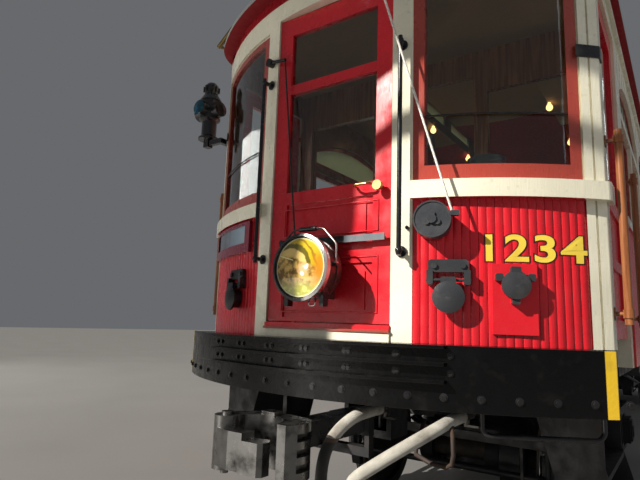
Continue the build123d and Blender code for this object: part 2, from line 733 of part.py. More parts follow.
# Sashes: one frame to each side window and arched light, and one to each end window
side_glass_x = half_w - side_t / 2
with BuildPart() as side_sashes:
    for step in range(bays):
        y = -saloon_y + (step + 0.5) * bay
        for half in (-1, 1):
            mid = y + half * (mullion_w / 2 + sash_open / 2)
            span = (mid - sash_open / 2, mid + sash_open / 2)
            inner = (span[0] + sash_w, span[1] - sash_w)
            block((side_glass_x - sash_t / 2, side_glass_x + sash_t / 2), span,
                  (deck_z + side_sash_lo, deck_z + side_sash_hi))
            block((side_glass_x - sash_t, side_glass_x + sash_t), inner,
                  (deck_z + side_sash_lo + 70, deck_z + side_sash_hi - sash_w), mode=Mode.SUBTRACT)
        extrude(arch_face(y, side_glass_x - sash_t / 2, 0), amount=sash_t)
        extrude(arch_face(y, side_glass_x - sash_t, 40), amount=2 * sash_t, mode=Mode.SUBTRACT)
with BuildPart() as end_sashes:
    for side in (-1, 1):
        outer = sorted((side * sash_in, side * sash_out))
        inner = sorted((side * glass_in, side * glass_out))
        bow_strip(outer, (-48, -8), (deck_z + sash_lo, deck_z + sash_hi))
        bow_strip(inner, (-60, 10), (deck_z + glass_lo, deck_z + glass_hi), mode=Mode.SUBTRACT)
with BuildPart() as window_sashes:
    add(side_sashes.part)
    mirror(about=Plane.YZ)
    add(end_sashes.part)
    add(turned(end_sashes.part))
save(window_sashes.part, "window_sashes")

with BuildPart() as end_panes:
    for side in (-1, 1):
        inner = sorted((side * glass_in, side * glass_out))
        bow_strip(inner, (-31, -25), (deck_z + glass_lo, deck_z + glass_hi))
with BuildPart() as window_glass:
    for step in range(bays):
        y = -saloon_y + (step + 0.5) * bay
        for half in (-1, 1):
            mid = y + half * (mullion_w / 2 + sash_open / 2)
            pane = sash_open / 2 - sash_w
            block((side_glass_x - glass_t / 2, side_glass_x + glass_t / 2), (mid - pane, mid + pane),
                  (deck_z + side_sash_lo + 70, deck_z + side_sash_hi - sash_w))
    mirror(about=Plane.YZ)
    add(end_panes.part)
    add(turned(end_panes.part))
save(window_glass.part, "window_glass")

with BuildPart() as art_glass:
    for step in range(bays):
        y = -saloon_y + (step + 0.5) * bay
        extrude(arch_face(y, side_glass_x - glass_t / 2, 40), amount=glass_t)
    for step in range(lights):
        y = -clear_y + (step + 0.5) * light_pitch
        block((clear_half - 23, clear_half - 17), (y - light_w / 2, y + light_w / 2), (light_lo, light_hi))
    mirror(about=Plane.YZ)
save(art_glass.part, "art_glass")

# Roof walk: boards on cleats along the clerestory, and the two trolley stands
walk_z = (clear_top + 30, clear_top + 55)
walk_end = clear_y - 550
cleats = 9
pole_base_y = 1500
pole_z = walk_z[1] + 175
hook_end = clear_y - 650
with BuildPart() as roof_walk:
    for x in (-190, 0, 190):
        block((x - 85, x + 85), (-walk_end, walk_end), walk_z)
    for step in range(cleats):
        y = (walk_end - 100) * (2 * step / (cleats - 1) - 1)
        block((-285, 285), (y - 30, y + 30), (clear_top - 12, walk_z[0]))
    extrude(arch_line(clear_half + 45, clear_eave, clear_eave + 22, clear_top, clear_end), amount=2 * clear_end,
            mode=Mode.SUBTRACT)
    for end in (-1, 1):
        y = end * pole_base_y
        block((-240, 240), (y - 260, y + 260), (walk_z[1], walk_z[1] + 30))
        disc(Plane(origin=(0, y, walk_z[1] + 30)), 110, 50)
        for side in (-1, 1):
            block((side * 42, side * 62), (y - 70, y + 70), (walk_z[1] + 80, pole_z + 45))
        rod((-62, y, pole_z), (62, y, pole_z), 26)
        hook_y = end * hook_end
        block((-70, 70), (hook_y - 12, hook_y + 12), (walk_z[1], walk_z[1] + 45))
        block((-70, -50), (hook_y - 12, hook_y + 12), (walk_z[1] + 45, walk_z[1] + 160))
        block((50, 70), (hook_y - 12, hook_y + 12), (walk_z[1] + 45, walk_z[1] + 160))
save(roof_walk.part, "roof_walk")

# Trolley poles: a tapered tube with its foot, spring arm, harp and wheel, hooked down
pole_len = wall_y - pole_base_y - 1550
pole_tip = (0, -pole_base_y - pole_len, pole_z - 40)
with BuildPart() as pole:
    foot = (0, -pole_base_y, pole_z)
    run = Vector(*pole_tip) - Vector(*foot)
    with BuildSketch(Plane(origin=foot, z_dir=run)) as thick:
        Circle(24)
    with BuildSketch(Plane(origin=Vector(*pole_tip), z_dir=run)) as thin:
        Circle(15)
    loft([thick.sketch, thin.sketch])
    disc(Plane(origin=(-34, -pole_base_y, pole_z), z_dir=(1, 0, 0)), 48, 68)
    rod((-50, -pole_base_y, pole_z), (50, -pole_base_y, pole_z), 26.6, mode=Mode.SUBTRACT)
    block((-26, 26), (pole_tip[1] - 130, pole_tip[1] + 40), (pole_tip[2] - 12, pole_tip[2] + 12))
    block((-14, 14), (pole_tip[1] - 140, pole_tip[1] - 10), (pole_tip[2] - 20, pole_tip[2] + 20),
          mode=Mode.SUBTRACT)
    wheel_y = pole_tip[1] - 80
    disc(Plane(origin=(-12, wheel_y, pole_tip[2]), z_dir=(1, 0, 0)), 58, 24)
    disc(Plane(origin=(-26, wheel_y, pole_tip[2]), z_dir=(1, 0, 0)), 12, 52)
save(pole.part, "trolley_pole_front")
save(turned(pole.part), "trolley_pole_rear")

# Seats: iron frames with cane cushions and backs, two by two along the aisle
seat_x = (390, inner_w - 25)
seat_z = 1735
with BuildPart() as seat_frames:
    for step in range(2 * bays):
        y = -saloon_y + (step + 0.5) * bay / 2
        block((seat_x[0] + 120, seat_x[1] - 120), (y - 60, y + 60), (floor_z, seat_z - 60))
        block(seat_x, (y - 215, y + 215), (seat_z - 60, seat_z))
    mirror(about=Plane.YZ)
save(seat_frames.part, "seat_frames")
with BuildPart() as seat_cushions:
    for step in range(2 * bays):
        y = -saloon_y + (step + 0.5) * bay / 2
        block(seat_x, (y - 225, y + 225), (seat_z + 0.3, seat_z + 115))
        block(seat_x, (y + 225.3, y + 305), (seat_z + 60, seat_z + 620))
    mirror(about=Plane.YZ)
save(seat_cushions.part, "seat_cushions")

# Bumpers with the ribbed anticlimber in the middle of each
with BuildPart() as bumper:
    ends = (-half_w - 20, half_w + 20)
    bow_strip(ends, (bumper_out - bumper_t, bumper_out), (deck_z - bumper_h, deck_z))
    bow_strip((-inner_w, inner_w), (0.0, bumper_out), (deck_z - 12, deck_z))
    for drop in (0, 75, 150):
        bow_strip((-rib_half, rib_half), (bumper_out, bumper_out + rib_out),
                  (deck_z - drop - rib_t, deck_z - drop))
with BuildPart() as bumpers:
    add(bumper.part)
    add(turned(bumper.part))
save(bumpers.part, "bumpers")

# Steps at the side doors: three treads between cheek plates
step_z = (405, 737, 1069)
step_x = ((half_w - 210, half_w + 25), (half_w - 305, half_w - 70), (half_w - 400, half_w - 165))
with BuildPart() as side_steps:
    for sy in (-1, 1):
        for z, x in zip(step_z, step_x):
            block(x, (sy * (door_y0 + 22), sy * (door_y1 - 22)), (z, z + 28))
            block((x[0], x[0] + 12), (sy * (door_y0 + 22), sy * (door_y1 - 22)), (z + 28, z + 332))
        for y in (door_y0 + 10, door_y1 - 22):
            near = min(sy * y, sy * (y + 12))
            with BuildSketch(Plane(origin=(0, near, 0), x_dir=(1, 0, 0), z_dir=(0, -1, 0))) as cheek:
                with BuildLine():
                    Polyline((half_w - 215, 395), (half_w + 10, 395), (half_w + 10, 480), (inner_w - 1, 800),
                             (inner_w - 1, 1339), (well_x + 1, 1339), (well_x + 1, 1060), close=True)
                make_face()
            extrude(cheek.sketch, amount=-12)
    mirror(about=Plane.YZ)
save(side_steps.part, "side_steps")

# Iron grab rails on the door posts, and the bent stirrup under the bumper
grab_x, grab_z, grab_off = door_half + post_w / 2, (445, 1555), 58
with BuildPart() as end_rails:
    for side in (-1, 1):
        base = bow_plane(side * grab_x, deck_z + grab_z[0])
        head = bow_plane(side * grab_x, deck_z + grab_z[1])
        low = base.origin + base.z_dir * grab_off
        high = head.origin + head.z_dir * grab_off
        rod(low - Vector(0, 0, 25), high + Vector(0, 0, 25), 24)
        for foot in (base, head):
            disc(foot, 13, grab_off)
            disc(foot, 28, 8)
            with Locations(foot.origin + foot.z_dir * grab_off):
                Sphere(18)
    bottom = deck_z - bumper_h
    stirrup = [(800, bottom + 60), (800, bottom - 105), (1235, bottom - 105), (1235, bottom + 60)]
    bent_rod([bow_plane(x, z, 60).origin for x, z in stirrup], 40, 22)
    for x in (800, 1235):
        foot = bow_plane(x, bottom + 60, 50)
        plate(foot, 40, 90, bumper_out - bumper_t - 50.4)
with BuildPart() as grab_rails:
    add(end_rails.part)
    add(turned(end_rails.part))
save(grab_rails.part, "grab_rails")

# Wooden grab poles beside the side doors, on iron brackets
pole_off = 60
with BuildPart() as side_handrails:
    for y in (-corner_y + corner_post / 2, -door_y0 + 60, door_y0 - 60, corner_y - corner_post / 2):
        rod((half_w + pole_off, y, deck_z + 120), (half_w + pole_off, y, deck_z + 1080), 38)
        for z in (deck_z + 170, deck_z + 1030):
            rod((half_w, y, z), (half_w + pole_off, y, z), 20)
            disc(Plane(origin=(half_w + pole_off, y, z - 20)), 25, 40)
            disc(Plane(origin=(half_w, y, z), z_dir=(1, 0, 0)), 32, 8)
    mirror(about=Plane.YZ)
save(side_handrails.part, "side_handrails")

# Marker lamps on the front left corner and the rear right one, above bands round the corner posts
lamp_x, lamp_y, lamp_z = -half_w - 170, -corner_y - 49, deck_z + 1760
lamp_foot = lamp_z - 240
band_z = (lamp_foot - 65, lamp_foot)
lens_side = (0, 90, 180)             # where the lenses look: right, forward and left
lens_set = 104
band_ring = corner_ring(8, 8, band_z, corner_bend + 8)
lamp_caps = []
for turn in lens_side:
    way = (cos(radians(turn)), -sin(radians(turn)))
    face = Plane(origin=(lamp_x + lens_set * way[0], lamp_y + lens_set * way[1], lamp_z),
                 z_dir=(way[0], way[1], 0))
    lamp_caps.append((face, lens_cap(face, 50, 16)))
with BuildPart() as marker_bands:
    add(band_ring)
    with Locations((0, -wall_y, sum(band_z) / 2)):
        Box(2 * half_w - 184, 1060, 200, mode=Mode.SUBTRACT)
    block((-half_w - 50, half_w + 50), (60 - corner_y, wall_y + 100), (band_z[0] - 5, band_z[1] + 5),
          mode=Mode.SUBTRACT)
with BuildPart() as marker:
    with BuildSketch(Plane(origin=(lamp_x, lamp_y, 0), x_dir=(1, 0, 0), z_dir=(0, -1, 0))) as profile:
        with BuildLine():
            Polyline(
                (0, lamp_foot), (82, lamp_foot), (82, lamp_foot + 14), (60, lamp_foot + 34),
                (60, lamp_z - 92), (85, lamp_z - 72), (85, lamp_z + 82), (92, lamp_z + 88),
                (54, lamp_z + 150), (54, lamp_z + 222), (36, lamp_z + 244), (0, lamp_z + 250), close=True,
            )
        make_face()
    revolve(profile.sketch, axis=Axis((lamp_x, lamp_y, 0), (0, 0, 1)))
    with BuildSketch(Plane(origin=(lamp_x, lamp_y, lamp_z + 168))) as vents:
        with PolarLocations(56, 8):
            Rectangle(22, 16)
    extrude(vents.sketch, amount=44)
    for face, cap in lamp_caps:
        disc(face.offset(-54), 60, 74)
        disc(face, 52, 30, mode=Mode.SUBTRACT)
        add(cap)
    block((lamp_x - 26, lamp_x + 26), (lamp_y - 26, lamp_y + 26), band_z)
    block((lamp_x + 20, -half_w - 6), (lamp_y - 18, lamp_y + 18), (band_z[0] + 12, band_z[1] - 12))
    block((-half_w - 40, -half_w - 4), (lamp_y - 18, 25 - corner_y), (band_z[0] + 12, band_z[1] - 12))
    add(marker_bands.part)
with BuildPart() as marker_lamps:
    add(marker.part)
    add(turned(marker.part))
save(marker_lamps.part, "marker_lamps")

# Trolley catcher on each end wall: a drum with a rimmed face and a boss of three lobes
catch_x, catch_z, catch_r = post_out + 98, deck_z + 588, 90
with BuildPart() as catcher:
    plate(bow_plane(catch_x, catch_z, -panel_t), 110, 150, 25, 20)
    disc(bow_plane(catch_x, catch_z, 10), catch_r, 88)
    disc(bow_plane(catch_x, catch_z, 94), catch_r - 7, 10, mode=Mode.SUBTRACT)
    disc(bow_plane(catch_x, catch_z, 90), 22, 18)
    for turn in (90, 210, 330):
        lobe = (catch_x + 26 * cos(radians(turn)), catch_z + 26 * sin(radians(turn)))
        disc(bow_plane(lobe[0], lobe[1], 90), 15, 12)
    plate(bow_plane(catch_x + 96, catch_z + 26, 72), 44, 24, 34, 8)
    disc(bow_plane(catch_x - 120, catch_z - 25), 9, 26)
with BuildPart() as trolley_catchers:
    add(catcher.part)
    add(turned(catcher.part))
save(trolley_catchers.part, "trolley_catchers")

# Trolley rope, taut from the front catcher over the hood to the harp
rope_d = 12
rope_low = bow_plane(catch_x + 84, catch_z + 38.3, 90).origin
rope_eave = (275, -bow_y(275, hood_out + 20), plate_z + 45)
rope_high = (0, pole_tip[1] + 60, pole_tip[2] - 20.3)
with BuildPart() as trolley_rope:
    rod(rope_low, rope_eave, rope_d)
    rod(rope_eave, rope_high, rope_d)
save(trolley_rope.part, "trolley_rope")

# Jumper sockets under the front windows: back plate, two arms, hinge rod and round lid
socket_z = 372
lid_r, lid_z = 75, 220
socket_x = (post_out + 165, -post_out - 227)
board_x, board_z = post_out + 435, 283
socket_caps = [lens_cap(bow_plane(x, deck_z + lid_z, 58), lid_r, 14) for x in socket_x]
board_cap = lens_cap(bow_plane(board_x, deck_z + board_z, 56), 66, 12)
with BuildPart() as sockets:
    for x, cap in zip(socket_x, socket_caps):
        plate(bow_plane(x, deck_z + socket_z, -panel_t), 190, 62, 35, 18)
        for arm in (-80, 80):
            plate(bow_plane(x + arm, deck_z + 315, -panel_t), 30, 70, 55, 6)
        rod(bow_plane(x - 96, deck_z + 302, 32).origin, bow_plane(x + 96, deck_z + 302, 32).origin, 15)
        disc(bow_plane(x, deck_z + lid_z, -panel_t), 60, 60)
        disc(bow_plane(x, deck_z + lid_z, 44), lid_r, 14)
        add(cap)
        plate(bow_plane(x, deck_z + 298, 20), 72, 36, 36, 8)
        for bolt in (-62, 62):
            disc(bow_plane(x + bolt, deck_z + socket_z, 18), 14, 12)
    plate(bow_plane(board_x + 3, deck_z + 220, -panel_t), 206, 330, 24)
    disc(bow_plane(board_x, deck_z + board_z, 7), 60, 40)
    disc(bow_plane(board_x, deck_z + board_z, 44), 66, 12)
    add(board_cap)
    for turn in (30, 150, 270):
        lug = (board_x + 72 * cos(radians(turn)), board_z + 72 * sin(radians(turn)))
        plate(bow_plane(lug[0], deck_z + lug[1], 7), 34, 34, 40, 8)
    plate(bow_plane(board_x, deck_z + board_z + 72, 30), 46, 26, 28, 6)
    disc(bow_plane(-grab_x, deck_z + 1700), 26, 40)
    rod(bow_plane(-grab_x, deck_z + 1698, 27).origin, (-334, -wall_y + 28, 3046), 20)
save(sockets.part, "jumper_sockets")

# Destination board on the left front panel, bowed like the wall
sign_x = (5 - inner_w, -600)
sign_z = (deck_z + 505, deck_z + 700)
with BuildPart() as sign_box:
    bow_strip(sign_x, (-panel_t, 22), sign_z)
    bow_strip((sign_x[0] + 42, sign_x[1] - 56), (10, 30), (sign_z[0] + 60, sign_z[1] - 22),
              mode=Mode.SUBTRACT)
save(sign_box.part, "sign_box")

# Air gear: reservoirs in straps, compressor and train pipes under the floor, whistle on the hood
tank_r, tank_z, tank_x = 170, 960, 600
whistle_d = 34
whistle = ((-1300, -corner_y - 175, plate_z + 42), (-1010, -corner_y - 296, plate_z + 66))
with BuildPart() as horn:
    rod(*whistle, whistle_d)
    rod(whistle[0], (-1180, -corner_y - 60, plate_z + 15), 22)
    rod(whistle[1], (-960, -corner_y - 180, plate_z + 15), 22)
    add(roof_outer, mode=Mode.SUBTRACT)
with BuildPart() as air_gear:
    for side in (-1, 1):
        x = -side * tank_x
        y = side * (bearer_y[3] + bearer_y[4]) / 2
        disc(Plane(origin=(x, y - 690, tank_z), z_dir=(0, 1, 0)), tank_r, 1380)
        for strap_y in (side * (bearer_y[3] + 32), side * (bearer_y[4] - 32)):
            rod((x, strap_y - 16, tank_z), (x, strap_y + 16, tank_z), 2 * tank_r + 16)
            block((x - tank_r, x + tank_r), (strap_y - 16, strap_y + 16), (tank_z + 90, bearer_z[0]))
        rod((side * pipe_x, 300 - wall_y, pipe_z), (side * pipe_x, wall_y - 300, pipe_z), pipe_d)
    disc(Plane(origin=(-760, -1300, 1000), z_dir=(0, 1, 0)), 150, 600)
    block((-920, -600), (-660, -120), (850, 1160))
    block((-900, -620), (-1380, -20), (1130, bearer_z[0]))
    add(horn.part)
save(air_gear.part, "air_gear")

# Switch groups and resistance boxes hung between the bearers
with BuildPart() as control_boxes:
    for x, y, w, h in ((760, -700, 360, 420), (760, 700, 360, 380), (-760, 700, 360, 300)):
        block((x - w / 2, x + w / 2), (y - 630, y + 630), (bearer_z[0] - 30 - h, bearer_z[0] - 30))
        for hanger in (-690, 650):
            block((x - w / 2, x + w / 2), (y + hanger, y + hanger + 40), (bearer_z[0] - 60, bearer_z[0]))
        block((x - 60, x + 60), (y - 690, y + 690), (bearer_z[0] - 40, bearer_z[0] - 20))
save(control_boxes.part, "control_boxes")

# Motorman's controller and brake stand in each vestibule
cab_y = (330 - wall_y, 540 - wall_y)
with BuildPart() as stand:
    block((660, 880), cab_y, (floor_z, floor_z + 900))
    disc(Plane(origin=(770, sum(cab_y) / 2, floor_z + 900)), 100, 40)
    rod((480, cab_y[0] - 60, floor_z), (480, cab_y[0] - 60, floor_z + 1050), 42)
    disc(Plane(origin=(480, cab_y[0] - 60, floor_z + 1000)), 60, 60)
with BuildPart() as cab_controls:
    add(stand.part)
    add(turned(stand.part))
save(cab_controls.part, "cab_controls")

# Air hoses at the front, in canvas sleeves: points chosen by eye, y measured from the wall's crown
hose_d = 56
hose_points = {
    "air_hose_1": [(320, 100, 1030), (320, 0, 1030), (292, -98, 1012), (248, -160, 956),
                   (208, -190, 880), (190, -200, 795), (186, -200, 705), (186, -200, 615)],
    "air_hose_2": [(720, 160, 1035), (720, 55, 1035), (696, -55, 1010), (582, -180, 926),
                   (480, -232, 852), (388, -250, 785), (332, -252, 695), (312, -252, 597),
                   (312, -252, 500)],
}
hose_points = {name: [(x, y - wall_y, z) for x, y, z in points] for name, points in hose_points.items()}


def bend_radii(points):
    """Radius for each corner: as large as its two runs allow."""
    radii = []
    for before, corner, after in zip(points, points[1:], points[2:]):
        first = Vector(*corner) - Vector(*before)
        second = Vector(*after) - Vector(*corner)
        turn = radians(first.get_angle(second))
        radii.append(0.45 * min(first.length, second.length) / tan(turn / 2))
    return radii


for name, points in hose_points.items():
    with BuildPart() as hose:
        bent_rod(points, bend_radii(points), hose_d)
    save(hose.part, name)
with BuildPart() as hose_ends:
    for points in hose_points.values():
        x, y, z = points[-1]
        disc(Plane(origin=(x, y, z - 90)), 34, 90)
        plate(Plane(origin=(x, y - 35, z - 95), x_dir=(1, 0, 0), z_dir=(0, 1, 0)), 90, 90, 70, 30)
save(hose_ends.part, "hose_couplings")
with BuildPart() as angle_cocks:
    for points in hose_points.values():
        x, y, z = points[0]
        rod((x, y, z), (x, y + 120, z), 50)
        rod((x, y + 60, z), (x, y + 60, 1100), 34)
        rod((x, y + 60, z - 44), (x, y + 60, z), 30)
        block((x - 8, x + 60), (y + 48, y + 72), (z - 52, z - 42))
save(angle_cocks.part, "angle_cocks")


# Doors
def pane_hole(x, z, depth=200):
    """Cut through the leaf of an end door between two x and two heights above the deck."""
    block(x, (-wall_y - depth, -wall_y + depth), (deck_z + z[0], deck_z + z[1]), mode=Mode.SUBTRACT)


door_panes = ((834, 1455), (1515, 1850))
door_glass_half = door_half - door_rail
with BuildPart() as end_door:
    block((-door_half + 5, door_half - 8), leaf_y, (leaf_lo, head_z - 6))
    leaf_barrels(*end_hinge)
    for z in door_panes:
        pane_hole((-door_glass_half, door_glass_half), z)
    for low, high in ((110, 400), (470, 760)):
        sunk = (deck_z + low, deck_z + high)
        block((-290, 290), (leaf_y[0] - 1, leaf_y[0] + 12), sunk, mode=Mode.SUBTRACT)
        block((-245, 245), (leaf_y[0] + 5, leaf_y[0] + 12), (sunk[0] + 45, sunk[1] - 45))
    knob = Plane(origin=(340, leaf_y[0], deck_z + 793), z_dir=(0, -1, 0))
    disc(knob, 12, 45)
    disc(knob.offset(35), 26, 22)
    bent_rod(
        [(190, leaf_y[0], deck_z + 808), (190, leaf_y[0] - 55, deck_z + 808),
         (300, leaf_y[0] - 55, deck_z + 808), (300, leaf_y[0], deck_z + 808)], 30, 14,
    )
    block((-305, 377), (leaf_y[0] - 36, leaf_y[0] - 28), (deck_z + 507, deck_z + 543))
    for x in (-290, 355):
        disc(Plane(origin=(x, leaf_y[0], deck_z + 525), z_dir=(0, -1, 0)), 11, 30)
save(end_door.part, "end_door_front")
save(turned(end_door.part), "end_door_rear")
with BuildPart() as end_door_glass:
    for z in door_panes:
        block((-door_glass_half, door_glass_half), (sum(leaf_y) / 2 - 3, sum(leaf_y) / 2 + 3),
              (deck_z + z[0], deck_z + z[1]))
save(end_door_glass.part, "end_door_front_glass")
save(turned(end_door_glass.part), "end_door_rear_glass")

# Headlight on the front end door: drum, rim, hoop handle, feet, lug, hanger and cable
light_z = deck_z + 358
light_y = leaf_y[0]
lens_y = -wall_y - 175
hoop_y = lens_y + 58
lens_r, lens_bulge = 155, 18
cable_d = 10
cable_points = [(x, y - wall_y, z) for x, y, z in (
    (-335, 28, 3035), (-196, 10, 1990), (-172, -6, 1905), (-143, -22, 1855), (-121, -32, 1826))]
gland_run = (Vector(*cable_points[-1]) - Vector(*cable_points[-2])).normalized()
with BuildPart() as headlight:
    with BuildSketch(Plane(origin=(0, 0, light_z), x_dir=(1, 0, 0), z_dir=(0, 0, 1))) as drum:
        with BuildLine():
            Polyline(
                (0, light_y - 24), (110, light_y - 24), (150, light_y - 70), (152, light_y - 104),
                (160, light_y - 106), (160, light_y - 126), (154, light_y - 128), (158, lens_y + 40),
                (170, lens_y + 40), (174, lens_y + 20), (174, lens_y - 8), (160, lens_y - 14),
                (156, lens_y), (0, lens_y), close=True,
            )
        make_face()
    revolve(drum.sketch, axis=Axis((0, 0, light_z), (0, 1, 0)))
    block((-60, 60), (light_y - 27.7, light_y - 8), (light_z + 60, light_z + 185))
    block((-60, 60), (light_y - 60, light_y + 5), (light_z - 150, light_z - 60))
    bent_rod(
        [(-181, hoop_y, light_z + 15), (-181, hoop_y, light_z + 120), (-96, hoop_y, light_z + 208),
         (96, hoop_y, light_z + 208), (181, hoop_y, light_z + 120), (181, hoop_y, light_z + 15)],
        46, 9,
    )
    rod((-52, hoop_y, light_z + 208), (52, hoop_y, light_z + 208), 26)
    rod((-190, hoop_y, light_z + 18), (190, hoop_y, light_z + 18), 24)
    rod((-129, lens_y - 4, light_z + 134), (-129, lens_y + 40, light_z + 134), 28)
    block((-124, -100), (hoop_y - 22, hoop_y + 22), (light_z - 196, light_z - 100))
    block((100, 124), (hoop_y - 22, hoop_y + 22), (light_z - 196, light_z - 100))
    bent_rod(
        [(22, hoop_y, light_z - 148), (22, hoop_y, light_z - 192), (62, hoop_y, light_z - 192),
         (62, hoop_y, light_z - 140)], 12, 8,
    )
    rod(cable_points[-1], Vector(*cable_points[-1]) + gland_run * 30, 18)
save(headlight.part, "headlight")
lens_plane = Plane(origin=(0, lens_y - 0.3, light_z), z_dir=(0, -1, 0))
save(lens_cap(lens_plane, lens_r, lens_bulge), "headlight_lens")
with BuildPart() as headlight_cable:
    bent_rod(cable_points, bend_radii(cable_points), cable_d)
save(headlight_cable.part, "headlight_cable")

# Side doors: a leaf and a pane at each corner, hinged next to the bulkhead
for end_name, sy in (("front", -1), ("rear", 1)):
    for side_name, sx in (("left", -1), ("right", 1)):
        edges = (sy * (door_y0 + 4), sy * (door_y1 - 8))
        pane = (sy * (door_y0 + 110), sy * (door_y1 - 110))
        x = (sx * side_leaf_x[0], sx * side_leaf_x[1])
        mid = (x[0] + x[1]) / 2
        with BuildPart() as side_door:
            block(x, edges, (floor_z + 10, head_z - 6))
            leaf_barrels(sx * side_hinge[0], sy * side_hinge[1])
            block((x[0] - sx * 20, x[1] + sx * 20), pane, (deck_z + 820, deck_z + 1860), mode=Mode.SUBTRACT)
            for z in ((150, 420), (480, 740)):
                block((x[1] - sx * 12, x[1] + sx), pane, (deck_z + z[0], deck_z + z[1]), mode=Mode.SUBTRACT)
        save(side_door.part, f"side_door_{end_name}_{side_name}")
        with BuildPart() as side_pane:
            block((mid - 3, mid + 3), pane, (deck_z + 820, deck_z + 1860))
        save(side_pane.part, f"side_door_{end_name}_{side_name}_glass")

# Couplers: shank on its pin, and a head with hub, knuckle and slotted guard arm, open to one side
def head_points(*points):
    """Points of the coupler head, as x and distance in front of its back."""
    return [(x, -head_y - reach) for x, reach in points]


with BuildPart() as coupler:
    block((-shank / 2, shank / 2), (-head_y - 10, 70 - coupler_pivot_y),
          (coupler_z - shank / 2, coupler_z + shank / 2))
    disc(Plane(origin=(0, -coupler_pivot_y, coupler_z - shank / 2)), 95, shank)
    with BuildSketch(Plane.XY.offset(coupler_low)) as head:
        with BuildLine():
            Polyline(*head_points((170, 20), (70, 0), (-70, 0), (-200, 125), (-208, 200), (-95, 200),
                                  (-85, 150)))
            ThreePointArc(*head_points((-85, 150), (40, 85), (150, 190)))
            Polyline(*head_points((150, 190), (170, 230), (215, 230)))
            ThreePointArc(*head_points((215, 230), (250, 120), (170, 20)))
        make_face()
        with Locations(head_points((-150, 200))[0]):
            Circle(58)
    extrude(head.sketch, amount=head_h)
    for drop in (-62, 0, 62):
        block((212, 262), (-head_y - 185, -head_y - 62), (coupler_z + drop - 16, coupler_z + drop + 16),
              mode=Mode.SUBTRACT)
    block((140, 205), (-head_y - 205, -head_y - 110), (coupler_z - 80, coupler_z + 62), mode=Mode.SUBTRACT)
    with BuildSketch(Plane.XY.offset(coupler_z - 95)) as knuckle:
        with BuildLine():
            Polyline(*head_points((-190, 235), (-150, 262), (-60, 284), (20, 282), (20, 202), (-50, 214),
                                  (-105, 165)), close=True)
        make_face()
    extrude(knuckle.sketch, amount=160)
    with BuildSketch(Plane.XY.offset(coupler_z - 100)) as nose:
        with BuildLine():
            Polyline(*head_points((8, 196), (8, 283), (104, 277), (122, 260), (122, 214), (96, 186)),
                     close=True)
        make_face()
    extrude(nose.sketch, amount=135)
    pin = head_points((-150, 200))[0]
    disc(Plane(origin=(pin[0], pin[1], coupler_high)), 27, 14)
    disc(Plane(origin=(pin[0], pin[1], coupler_low - 22)), 18, 22)
    block((-38, 38), (-head_y - 92, -head_y - 30), (coupler_high - 5, coupler_high + 16))
    rod((0, -coupler_pivot_y, coupler_z - 100), (0, -coupler_pivot_y, coupler_z + 100), 51, mode=Mode.SUBTRACT)
save(coupler.part, "coupler_front")
save(turned(coupler.part), "coupler_rear")
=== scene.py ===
# %% [markdown]
# # A wooden electric tram car
#
# This lesson dresses a tram car. Its frame, wheels, walls, roof and doors come in as finished solids, each
# at its real size and place. What is left to make here is what an eye enjoys: enamel that has been brushed
# on, matched boards, bolts, an amber lens, gilded numerals, cane seats and hoses in canvas.
#
# Every length is in metres. The front end faces -Y, +X is to the right of someone facing it, and +Z is up.

# %% Bring in the solids
from math import asin, cos, pi, radians, sin, sqrt, tau

import bmesh
import bpy
import numpy as np
from mathutils import Matrix, Vector


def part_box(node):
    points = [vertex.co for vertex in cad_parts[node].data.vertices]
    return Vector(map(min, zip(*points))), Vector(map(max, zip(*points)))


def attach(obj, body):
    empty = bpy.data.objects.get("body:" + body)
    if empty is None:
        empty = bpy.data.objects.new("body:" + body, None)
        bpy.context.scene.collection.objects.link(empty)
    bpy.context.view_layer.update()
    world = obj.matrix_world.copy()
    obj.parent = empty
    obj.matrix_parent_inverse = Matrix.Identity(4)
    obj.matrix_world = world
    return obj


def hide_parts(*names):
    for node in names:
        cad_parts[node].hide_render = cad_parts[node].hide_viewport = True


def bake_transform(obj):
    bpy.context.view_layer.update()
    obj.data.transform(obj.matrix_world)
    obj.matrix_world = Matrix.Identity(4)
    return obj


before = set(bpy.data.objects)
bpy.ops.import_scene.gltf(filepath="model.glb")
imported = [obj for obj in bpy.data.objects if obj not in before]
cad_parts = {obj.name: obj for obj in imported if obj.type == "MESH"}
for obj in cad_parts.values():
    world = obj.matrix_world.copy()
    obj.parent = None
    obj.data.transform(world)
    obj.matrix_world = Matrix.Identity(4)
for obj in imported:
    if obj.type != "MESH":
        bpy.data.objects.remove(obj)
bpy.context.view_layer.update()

# %% [markdown]
# A few sizes come back again and again: the deck, which is the foot of the end walls, the bow of those
# walls and the width over the posts. They are written once here. Two helpers turn a place on the bowed
# wall into a point and into a small frame of its own, so that a lamp or a numeral can be made flat and
# then hung there.

# %% The car's own measures
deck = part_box("bumpers")[1].z            # top of the bumper
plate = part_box("lower_roof")[0].z        # top of the walls
half_width = 1.320                       # over the posts
crown = 7.600                            # middle of the end wall from the middle of the car
bow_rise = 0.529
bow_radius = (half_width**2 + bow_rise**2) / (2 * bow_rise)
bow_middle = crown - bow_radius
panel_back = 0.015                       # the boarded panels lie behind the posts
post_x, panel_x, door_x = 0.509, 1.240, 0.402
end_y, door_face, far = 6.900, 7.546, 20.0
belt = (deck + 0.709, deck + 0.800)
FRONT, REAR = 1, -1
ENDS = ((FRONT, "front"), (REAR, "rear"))


def wall_y(x, out=0.0):
    """Y of the front wall's face at x, moved outwards by out."""
    return -(bow_middle + sqrt((bow_radius + out) ** 2 - x * x))


